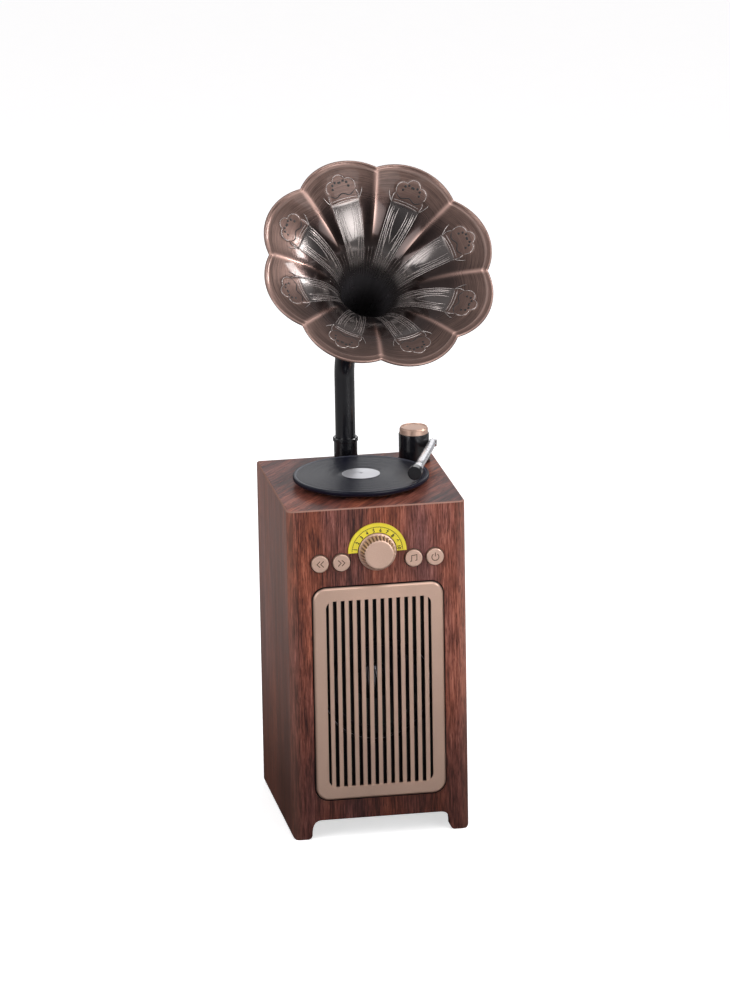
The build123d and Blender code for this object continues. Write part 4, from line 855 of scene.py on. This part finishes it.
class LOUDSPEAKER_OT_stage(bpy.types.Operator):
    """Pale floor, soft studio light and the camera"""
    bl_idname = "loudspeaker.stage"
    bl_label = "Stage"

    def execute(self, context):
        look = settings(context)[3]
        scene = context.scene
        scene.view_settings.view_transform = "Standard"
        scene.world = self.surroundings()
        half = 30.0
        corners = [(-half, -half, 0), (half, -half, 0), (half, half, 0), (-half, half, 0)]
        mesh = bpy.data.meshes.new("floor")
        mesh.from_pydata(corners, [], [(0, 1, 2, 3)])
        mesh.materials.append(self.floor_finish(look))
        floor = bpy.data.objects.new("floor", mesh)
        scene.collection.objects.link(floor)

        low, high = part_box("horn_bell")
        aim = (low + high) / 2
        # azimuth, elevation, distance from the horn, width, height, brightness, spread; angles in degrees
        lamps = (
            ("window_right", 31, 1, 1.15, 0.90, 0.60, 7.8, 62),
            ("window_top", 27, 30, 1.15, 0.50, 0.26, 2.6, 100),
            ("window_left", -56, 15, 1.25, 0.54, 0.95, 6.3, 70),
            ("strip_right", 90, 32, 1.20, 0.50, 0.11, 30.0, 180),
            ("overhead", 20, 62, 1.30, 0.80, 0.80, 2.0, 180),
            ("behind", 160, 17, 1.80, 1.60, 0.60, 1.2, 180),
            ("behind_left", -115, 24, 1.80, 0.80, 0.80, 1.7, 180),
        )
        for name, azimuth, elevation, distance, width, height, brightness, spread in lamps:
            place = distance * direction(radians(azimuth), radians(elevation))
            half = radians(spread / 2)
            lamp = bpy.data.lights.new(name, "AREA")
            lamp.shape = "RECTANGLE"
            lamp.size, lamp.size_y = width, height
            lamp.spread = radians(spread)
            # a narrow spread gathers the power, so it is cut to keep the brightness straight ahead
            gathered = 1 if spread == 180 else 1 - half / tan(half)
            lamp.energy = brightness * pi * width * height * gathered
            holder = bpy.data.objects.new(name, lamp)
            scene.collection.objects.link(holder)
            holder.location = aim + place
            holder.rotation_euler = (-place).to_track_quat("-Z", "Y").to_euler()

        back = direction(look.azimuth, look.elevation)
        right = Vector((cos(look.azimuth), sin(look.azimuth), 0))
        up = back.cross(right)
        rolled_right = cos(look.roll) * right + sin(look.roll) * up
        rolled_up = cos(look.roll) * up - sin(look.roll) * right
        data = bpy.data.cameras.new("camera")
        data.lens = look.lens
        data.sensor_width = 36
        camera = bpy.data.objects.new("camera", data)
        scene.collection.objects.link(camera)
        turn = Matrix((rolled_right, rolled_up, back)).transposed().to_4x4()
        target = Vector((look.target_right, 0, look.target_up))
        camera.matrix_world = Matrix.Translation(target + look.distance * back) @ turn
        data.clip_end = 100
        scene.camera = camera
        return {"FINISHED"}

    def surroundings(self):
        """A dim room with a paler ceiling; looked at directly, it is as pale as the floor."""
        world = bpy.data.worlds.new("studio")
        world.use_nodes = True
        tree = world.node_tree
        towards = add_node(tree, "TexCoord").outputs["Generated"]
        height = axes(tree, towards)[2]
        room = ramp(tree, height, [(0.0, (0.10, 0.10, 0.11)), (0.30, (0.16, 0.16, 0.17)),
                                   (0.62, (0.42, 0.41, 0.42)), (1.0, (0.55, 0.53, 0.53))])
        seen = add_node(tree, "LightPath").outputs["Is Camera Ray"]
        tree.links.new(mixed(tree, seen, room, (0.96, 0.96, 0.96)), tree.nodes["Background"].inputs["Color"])
        return world

    def floor_finish(self, look):
        """Pale floor; to the object it is dark, with painted shade darkest near the object that fades out 0.6
        m away.
        """
        made = plain_finish("pale_floor", tuple(look.floor), 0.7, 2.0, spread=0.01, bump=0.02,
                            Emission_Color=(1, 1, 1), Emission_Strength=0.62)
        tree = made.node_tree
        place = add_node(tree, "TexCoord").outputs["Object"]
        reach = add_node(tree, "VectorMath", {0: place}, operation="LENGTH")
        # painted shadow round the object, seen only in reflections
        shade = ramp(tree, reach.outputs["Value"], [(0.10, 0.02), (0.30, 0.16), (0.60, 0.50)])
        shaded_floor = add_node(tree, "BsdfDiffuse", {"Color": shade}).outputs[0]
        seen = add_node(tree, "LightPath").outputs["Is Camera Ray"]
        pale = tree.nodes["Principled BSDF"].outputs[0]
        choice = add_node(tree, "MixShader", {0: seen, 1: shaded_floor, 2: pale}).outputs[0]
        tree.links.new(choice, tree.nodes["Material Output"].inputs["Surface"])
        return made


class LOUDSPEAKER_OT_cabinet(bpy.types.Operator):
    """Wood, boards and grille of the box"""
    bl_idname = "loudspeaker.cabinet"
    bl_label = "Cabinet"

    def execute(self, context):
        look = settings(context)[0]
        paint(wood_finish(look), "front_board", "left_board", "right_board", "top_board")
        paint(board_finish(), "bottom_board", "back_board", "back_battens")
        paint(champagne_finish(look), "post_cap", "button_previous", "button_next", "button_mode",
              "button_power")
        paint(champagne_finish(look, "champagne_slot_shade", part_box("grille")[0].y), "grille")
        return {"FINISHED"}


class LOUDSPEAKER_OT_driver(bpy.types.Operator):
    """Loudspeaker driver behind the grille"""
    bl_idname = "loudspeaker.driver"
    bl_label = "Driver"

    def execute(self, context):
        paint(cone_finish(), "speaker_cone", "spider")
        rubber = plain_finish("black_rubber", (0.012, 0.012, 0.012), 0.5, 0.6, bump=0.15)
        paint(rubber, "speaker_surround", "speaker_gasket")
        glossy = plain_finish("glossy_cap", (0.22, 0.22, 0.24), 0.09, 3.0, rough_spread=0.03, bump=0.02,
                              Metallic=1.0)
        paint(glossy, "dust_cap")
        paint(plain_finish("ferrite", (0.05, 0.05, 0.05), 0.55, 0.8, bump=0.4), "speaker_magnet")
        paint(plain_finish("copper_winding", (0.6, 0.27, 0.12), 0.3, 0.2, Metallic=1.0), "voice_coil")
        return {"FINISHED"}


class LOUDSPEAKER_OT_controls(bpy.types.Operator):
    """Knob, signs on the buttons and the printed dial"""
    bl_idname = "loudspeaker.controls"
    bl_label = "Controls"

    def execute(self, context):
        look = settings(context)[0]
        champagne = champagne_finish(look, "champagne_knob", groove="groove")
        ink = plain_finish("black_ink", (0.012, 0.011, 0.010), 0.45, 0.3)
        self.knob(champagne)
        self.dial(look, ink)
        self.signs()
        return {"FINISHED"}

    def knob(self, finish):
        """Turned profile with flat-topped flutes on its cone, outlined by a clipped cosine of the turn."""
        low, high = box_mm("knob")
        middle = (low + high) / 2 * (1, 0, 1)
        base, face = -high[1], -low[1]
        reach = (high[0] - low[0]) / 2
        shaft, recess = 3.1, 6.5
        flutes, flute_depth = 28, 0.10
        cone_foot, cone_top = reach - 0.75, reach - 2.35
        cone = np.linspace(0, 1, 14)
        profile = [
            (0, face - 1.6), (shaft, face - 1.6), (shaft, base + 2.8), (recess, base + 2.8), (recess, base),
            (reach - 0.3, base), (reach, base + 0.25), (reach, base + 1.0), (reach - 0.15, base + 1.25),
            (reach - 0.4, base + 1.4), (cone_foot, base + 1.45),
        ]
        flute_start = len(profile) - 1
        flute_foot, flute_head = base + 1.5, face - 0.9
        radii = cone_foot + (cone_top - cone_foot) * cone
        profile += list(zip(radii, flute_foot + (flute_head - flute_foot) * cone))
        flute_end = len(profile) - 1
        profile += [
            (cone_top - 0.25, face - 0.55), (cone_top - 0.55, face - 0.2), (cone_top - 0.95, face - 0.03),
            (cone_top - 1.3, face), (cone_top - 2.2, face - 0.02), (cone_top - 5, face - 0.05),
            (0, face - 0.06),
        ]

        def ripple(turn, row):
            wave = np.clip(0.5 + 1.5 * np.cos(flutes * turn), 0, 1)
            cut = np.clip(np.minimum(row - flute_start + 1, flute_end + 1 - row) / 1.5, 0, 1)
            return 1 - flute_depth * cut[:, None] * (1 - wave)[None]

        columns = flutes * 12
        points, faces = turned(profile, middle, (0, -1, 0), (1, 0, 0), columns, ripple)
        # groove marks the flutes' hollows, which the finish darkens as painted shade
        cut = 1 - ripple(np.arange(columns) * 2 * pi / columns, np.arange(len(profile) - 2))
        groove = np.concatenate([(cut / cut.max()).ravel(), [0, 0]])
        add_mesh("control_knob", points, faces, finish, "knob_body", ["knob"],
                 {"groove": groove}, sharp=50)

    def dial(self, look, ink):
        """Scale of ten figures, long and short ticks and a thin arc, printed on the yellow half ring."""
        made = plain_finish("dial_print", tuple(look.dial), 0.38, 0.8, spread=0.05, bump=0.03,
                            Coat_Weight=0.3)
        paint(made, "dial_plate")
        low, high = box_mm("dial_plate")
        outer = (high[0] - low[0]) / 2
        knob_low, knob_high = box_mm("knob")
        chamfer = 0.3
        spot = ((low[0] + high[0]) / 2, low[1] + chamfer - 0.03, (knob_low[2] + knob_high[2]) / 2)
        shapes = []
        sweep = np.radians(np.linspace(3, 177, 90))
        line = outer - 2.5
        shapes.append(stroke(np.column_stack([line * np.cos(sweep), line * np.sin(sweep)]), 0.30))
        last, step, per_step = 9, 18, 4     # degrees to the last figure and between figures, ticks for each
        for k in range(9 * per_step + 1):
            angle = radians(last + step / per_step * k)
            length, width = (0.95, 0.30) if k % per_step == 0 else (0.5, 0.16)
            tick = [(r * cos(angle), r * sin(angle)) for r in (line - length, line)]
            shapes.append(stroke(tick, width))
        ring = line - 2.3
        for k in range(10):
            angle = radians(180 - last - step * k)
            points, faces = figure_outline(str(k + 1), 3.1)
            lean = angle - pi / 2
            x = points[:, 0] * cos(lean) - points[:, 1] * sin(lean) + ring * cos(angle)
            y = points[:, 0] * sin(lean) + points[:, 1] * cos(lean) + ring * sin(angle)
            shapes.append((np.column_stack([x, y, 0 * x]), faces))
        points, faces = printed(shapes, spot, 0.06)
        add_mesh("dial_scale", points, faces, ink, "cabinet")

    def signs(self):
        """Sunk signs of the four buttons, as dark bands just proud of the face."""
        dark = plain_finish("sign_shadow", (0.115, 0.066, 0.045), 0.5, 0.3, Metallic=0.6)
        band, reach, rise = 0.5, 2.3, 2.0
        turn = np.radians(np.linspace(125, 415, 40))
        ring = np.column_stack([reach * np.cos(turn), reach * np.sin(turn)])
        chevrons = [[(x, rise), (x - rise, 0), (x, -rise)] for x in (-0.1, reach)]
        signs = {
            "previous": chevrons,
            "next": [[(-x, y) for x, y in points] for points in chevrons],
            "mode": [[(-1.5, -1.9), (-1.5, 1.9), (1.9, 2.4), (1.9, -1.4)], [(-2.5, -1.9), (-1.5, -1.6)],
                     [(0.9, -1.4), (1.9, -1.1)]],
            "power": [ring, [(0, 0.4), (0, 3.0)]],
        }
        for word, lines in signs.items():
            low, high = box_mm(f"button_{word}")
            spot = ((low[0] + high[0]) / 2, low[1] - 0.02, (low[2] + high[2]) / 2)
            points, faces = printed([stroke(line, band) for line in lines], spot, 0.08)
            add_mesh(f"sign_{word}", points, faces, dark, f"button_{word}_body")


class LOUDSPEAKER_OT_deck(bpy.types.Operator):
    """Record, label, tonearm, pillar and neck"""
    bl_idname = "loudspeaker.deck"
    bl_label = "Turntable and arm"

    def execute(self, context):
        look = settings(context)[2]
        gloss = plain_finish("gloss_black", tuple(look.black), 0.20, 1.4, spread=0.2, rough_spread=0.05,
                             bump=0.03, Coat_Weight=0.2, Coat_Roughness=0.05)
        paint(gloss, "platter", "turret", "post_base", "head_shell", "neck_tube", "neck_ring", "neck_socket",
              "horn_coupling")
        bright = plain_finish("bright_metal", (0.82, 0.82, 0.84), 0.13, 1.2, spread=0.04, rough_spread=0.05,
                              bump=0.04, Metallic=1.0)
        paint(bright, "arm_pin", "stylus", "encoder_shaft", "spindle", "post_axle")
        self.record(look)
        self.label(look)
        self.arm(plain_finish("satin_silver", (0.80, 0.80, 0.83), 0.25, 1.2, spread=0.04, rough_spread=0.04,
                              bump=0.04, Metallic=0.65))
        return {"FINISHED"}

    def record(self, look):
        """Turned disc: a cosine of the radius for grooves, smooth bands between tracks and a rounded rim."""
        low, high = box_mm("record")
        middle = (low + high) / 2 * (1, 1, 0)
        bottom, top, reach = low[2], high[2], (high[0] - low[0]) / 2
        label = box_mm("record_label")[1][0] - middle[0]
        pitch = look.groove_pitch / MM
        # the blue in the vinyl's near black is a painted reflection
        finish = spun_finish("record_vinyl", (0.006, 0.007, 0.017), 0.28, 0.12, 0.5, highlight_at=reach - 1.9,
                             Specular_IOR_Level=0.25)
        field = top - 0.3
        first, last = reach - 3.0, label + 2.2      # radii of the first and the last groove
        radii = np.arange(first, last, -pitch / 4)
        band = np.ones_like(radii)
        for track in (0.22, 0.45, 0.68, 0.86):
            band *= 1 - np.exp(-((radii - (last + (first - last) * track)) / 0.35) ** 2)
        grooves = field + 0.03 * band * np.cos(2 * pi * radii / pitch)
        profile = [(0, bottom), (reach - 1.6, bottom), (reach - 0.5, bottom + 0.5), (reach, bottom + 1.2),
                   (reach, top - 0.7), (reach - 0.15, top - 0.3), (reach - 0.5, top - 0.05),
                   (reach - 0.9, top), (reach - 1.9, top - 0.02), (reach - 2.5, field)]
        profile += list(zip(radii, grooves))
        profile += [(label + 1.2, field), (label + 0.7, field + 0.05), (label + 0.35, top - 0.02),
                    (label, top - 0.05), (label - 0.3, top - 0.15), (0, top - 0.2)]
        points, faces = turned(profile, middle, (0, 0, 1), (1, 0, 0), 192)
        add_mesh("record_disc", points, faces, finish, "turntable", ["record"], sharp=60)

    def label(self, look):
        """Turned silver label with fine steps and the rounded end of the spindle."""
        low, high = box_mm("record_label")
        middle = (low + high) / 2 * (1, 1, 0)
        top, reach = high[2], (high[0] - low[0]) / 2
        finish = spun_finish("spun_silver", tuple(look.label), 0.32, 0.25, 0.45, Metallic=0.7)
        radii = np.linspace(reach - 0.5, 2.0, 70)
        rings = top - 0.04 + 0.004 * np.cos(2 * pi * radii / 0.9)
        dome = np.linspace(0, pi / 2, 6)
        profile = [(0, top - 0.4), (reach - 0.1, top - 0.4), (reach, top - 0.25), (reach, top - 0.08),
                   (reach - 0.15, top)]
        profile += list(zip(radii, rings))
        profile += [(1.45 * cos(a), top - 0.05 + 0.75 * sin(a)) for a in dome[:-1]] + [(0, top + 0.7)]
        points, faces = turned(profile, middle, (0, 0, 1), (1, 0, 0), 128)
        add_mesh("record_centre", points, faces, finish, "turntable", ["record_label"],
                 sharp=60)

    def arm(self, finish):
        """A rounded bar carried along the arm's line; its half width and half height change along it."""
        toe = radians(19.6)         # arm's turn towards the middle
        offset = 12.3               # arm's line beside the pillar's axis
        end = 67.6
        columns = 32
        square = 0.85
        line = np.array([-sin(toe), -cos(toe), 0])
        side = np.array([cos(toe), -sin(toe), 0])
        post = sum(box_mm("turret")) / 2
        post[2] = sum(box_mm("arm_pin"))[2] / 2
        eye = post + side * offset
        stations = np.array([  # along, half width, half height
            (-2.9, 0.4, 0.3), (-2.75, 0.9, 1.2), (-2.2, 1.6, 2.1), (-1.2, 2.0, 2.7), (0, 2.15, 2.85),
            (1.5, 2.15, 2.7), (4, 2.45, 2.6), (8, 2.65, 2.5), (16, 2.7, 2.45), (35, 2.7, 2.4),
            (48, 2.7, 2.4), (54, 2.7, 2.35), (54.6, 2.9, 2.5), (58, 3.0, 2.5), (66, 3.0, 2.5),
            (end - 0.6, 2.95, 2.4), (end - 0.15, 2.7, 2.0), (end, 2.3, 1.6),
        ])
        along, half_width, half_height = stations.T
        turn = np.arange(columns) * 2 * pi / columns
        across = np.sign(np.cos(turn)) * np.abs(np.cos(turn)) ** square
        rise = np.sign(np.sin(turn)) * np.abs(np.sin(turn)) ** square
        points = (eye + along[:, None, None] * line + (half_width[:, None] * across)[..., None] * side
                  + (half_height[:, None] * rise)[..., None] * np.array([0, 0, 1]))
        faces = grid_faces(len(along), columns).tolist()
        faces.append(list(range(columns))[::-1])
        faces.append([(len(along) - 1) * columns + k for k in range(columns)])
        outward(add_mesh("tonearm_bar", points.reshape(-1, 3), faces, finish, "arm_body",
                         ["tonearm"], sharp=50))


class LOUDSPEAKER_OT_horn(bpy.types.Operator):
    """Horn bell with its rolled rim, pressed ornament and raised lines"""
    bl_idname = "loudspeaker.horn"
    bl_label = "Horn"

    def execute(self, context):
        look = settings(context)[1]
        relief = look.relief / MM
        points, faces, uv, values = horn_sheet(relief)
        outward(add_mesh("horn_sheet", points, faces, horn_finish(look), "horn_body",
                         ["horn_bell"], values, uv))

        # raised lines in rubbed copper, with a pale base that is partly painted highlight
        rubbed_and_highlight = plain_finish("rubbed_copper", scaled(look.leaf, 3.2), 0.28, 0.4, Metallic=0.85)
        worked = plain_finish("dark_flutes", (0.30, 0.27, 0.26), 0.20, 0.5, Metallic=0.95)
        dark = plain_finish("dark_patina", (0.008, 0.006, 0.006), 0.4, 0.3)
        lines, wave, spots = ornament(), dark_wave(), pin_pricks()
        ribs = raised_lines(*on_petals(lines[..., 0], lines[..., 1], 0.7 * relief), 0.42, 0.26)

        # nine straight flutes run down each petal into the throat
        out = np.linspace(15.5, 27.0, 16)
        local = np.radians(np.arange(-20, 25, 5))[:, None]
        flutes = raised_lines(*on_petals(out * np.sin(local), out * np.cos(local)), 0.7, 0.40, fade=0.25)

        seats, tilts = on_petals(spots[:, 0], spots[:, 1], relief - 0.15)
        profile = [(0, 0), (0.85, 0), (0.85, 0.2), (0.7, 0.3), (0, 0.33)]
        parts = [turned(profile, seat, tilt, np.cross(tilt, HORN_RIGHT), 10)
                 for seat, tilt in zip(seats.reshape(-1, 3), tilts.reshape(-1, 3))]
        parts.append(raised_lines(*on_petals(wave[:, 0], wave[:, 1], 0.8 * relief), 0.8, 0.25))

        pricks = joined(parts)
        made = (("horn_lines", ribs, rubbed_and_highlight), ("horn_flutes", flutes, worked), ("horn_pricks", pricks, dark))
        for name, (points, faces), finish in made:
            outward(add_mesh(name, points, faces, finish, "horn_body"))
        return {"FINISHED"}


class LOUDSPEAKER_OT_rear(bpy.types.Operator):
    """Connections, fasteners and everything inside the box"""
    bl_idname = "loudspeaker.rear"
    bl_label = "Rear and inside"

    def execute(self, context):
        steel = plain_finish("zinc_steel", (0.55, 0.55, 0.58), 0.32, 0.5, Metallic=1.0)
        paint(steel, "small_screws", "back_screws", "hex_nuts", "neck_bolt", "neck_washer", "motor_bracket",
              "speaker_basket", "pole_plates", "turntable_motor", "battery_cell")
        moulded = plain_finish("matt_black", (0.02, 0.02, 0.022), 0.5, 0.35, bump=0.25)
        paint(moulded, "encoder", "push_switches", "board_spacers", "board_chips", "battery_holder",
              "port_plate", "spindle_bush")
        paint(plain_finish("tinned_shell", (0.6, 0.6, 0.62), 0.28, 0.5, Metallic=1.0), "rear_sockets")
        paint(circuit_finish(), "control_board", "main_board")
        return {"FINISHED"}


class LOUDSPEAKER_PT_sidebar(bpy.types.Panel):
    """Buttons and sizes in the sidebar"""
    bl_idname = "LOUDSPEAKER_PT_sidebar"
    bl_label = "Loudspeaker"
    bl_space_type = "VIEW_3D"
    bl_region_type = "UI"
    bl_category = "Loudspeaker"

    def draw(self, context):
        for operator in OPERATORS:
            self.layout.operator(operator.bl_idname)
        for group in settings(context):
            for key in group.bl_rna.properties.keys():
                if key not in ("rna_type", "name"):
                    self.layout.prop(group, key)


GROUPS = {"cabinet_look": CabinetLook, "horn_look": HornLook, "deck_look": DeckLook, "stage_look": StageLook}
OPERATORS = (LOUDSPEAKER_OT_stage, LOUDSPEAKER_OT_cabinet, LOUDSPEAKER_OT_driver, LOUDSPEAKER_OT_controls,
             LOUDSPEAKER_OT_deck, LOUDSPEAKER_OT_horn, LOUDSPEAKER_OT_rear)


def register():
    for name, group in GROUPS.items():
        bpy.utils.register_class(group)
        setattr(bpy.types.Scene, name, bpy.props.PointerProperty(type=group))
    for operator in OPERATORS:
        bpy.utils.register_class(operator)
    bpy.utils.register_class(LOUDSPEAKER_PT_sidebar)


def unregister():
    bpy.utils.unregister_class(LOUDSPEAKER_PT_sidebar)
    for operator in reversed(OPERATORS):
        bpy.utils.unregister_class(operator)
    for name, group in GROUPS.items():
        delattr(bpy.types.Scene, name)
        bpy.utils.unregister_class(group)


def main():
    register()
    for operator in OPERATORS:
        group, name = operator.bl_idname.split(".")
        getattr(getattr(bpy.ops, group), name)()


if __name__ == "__main__":
    main()
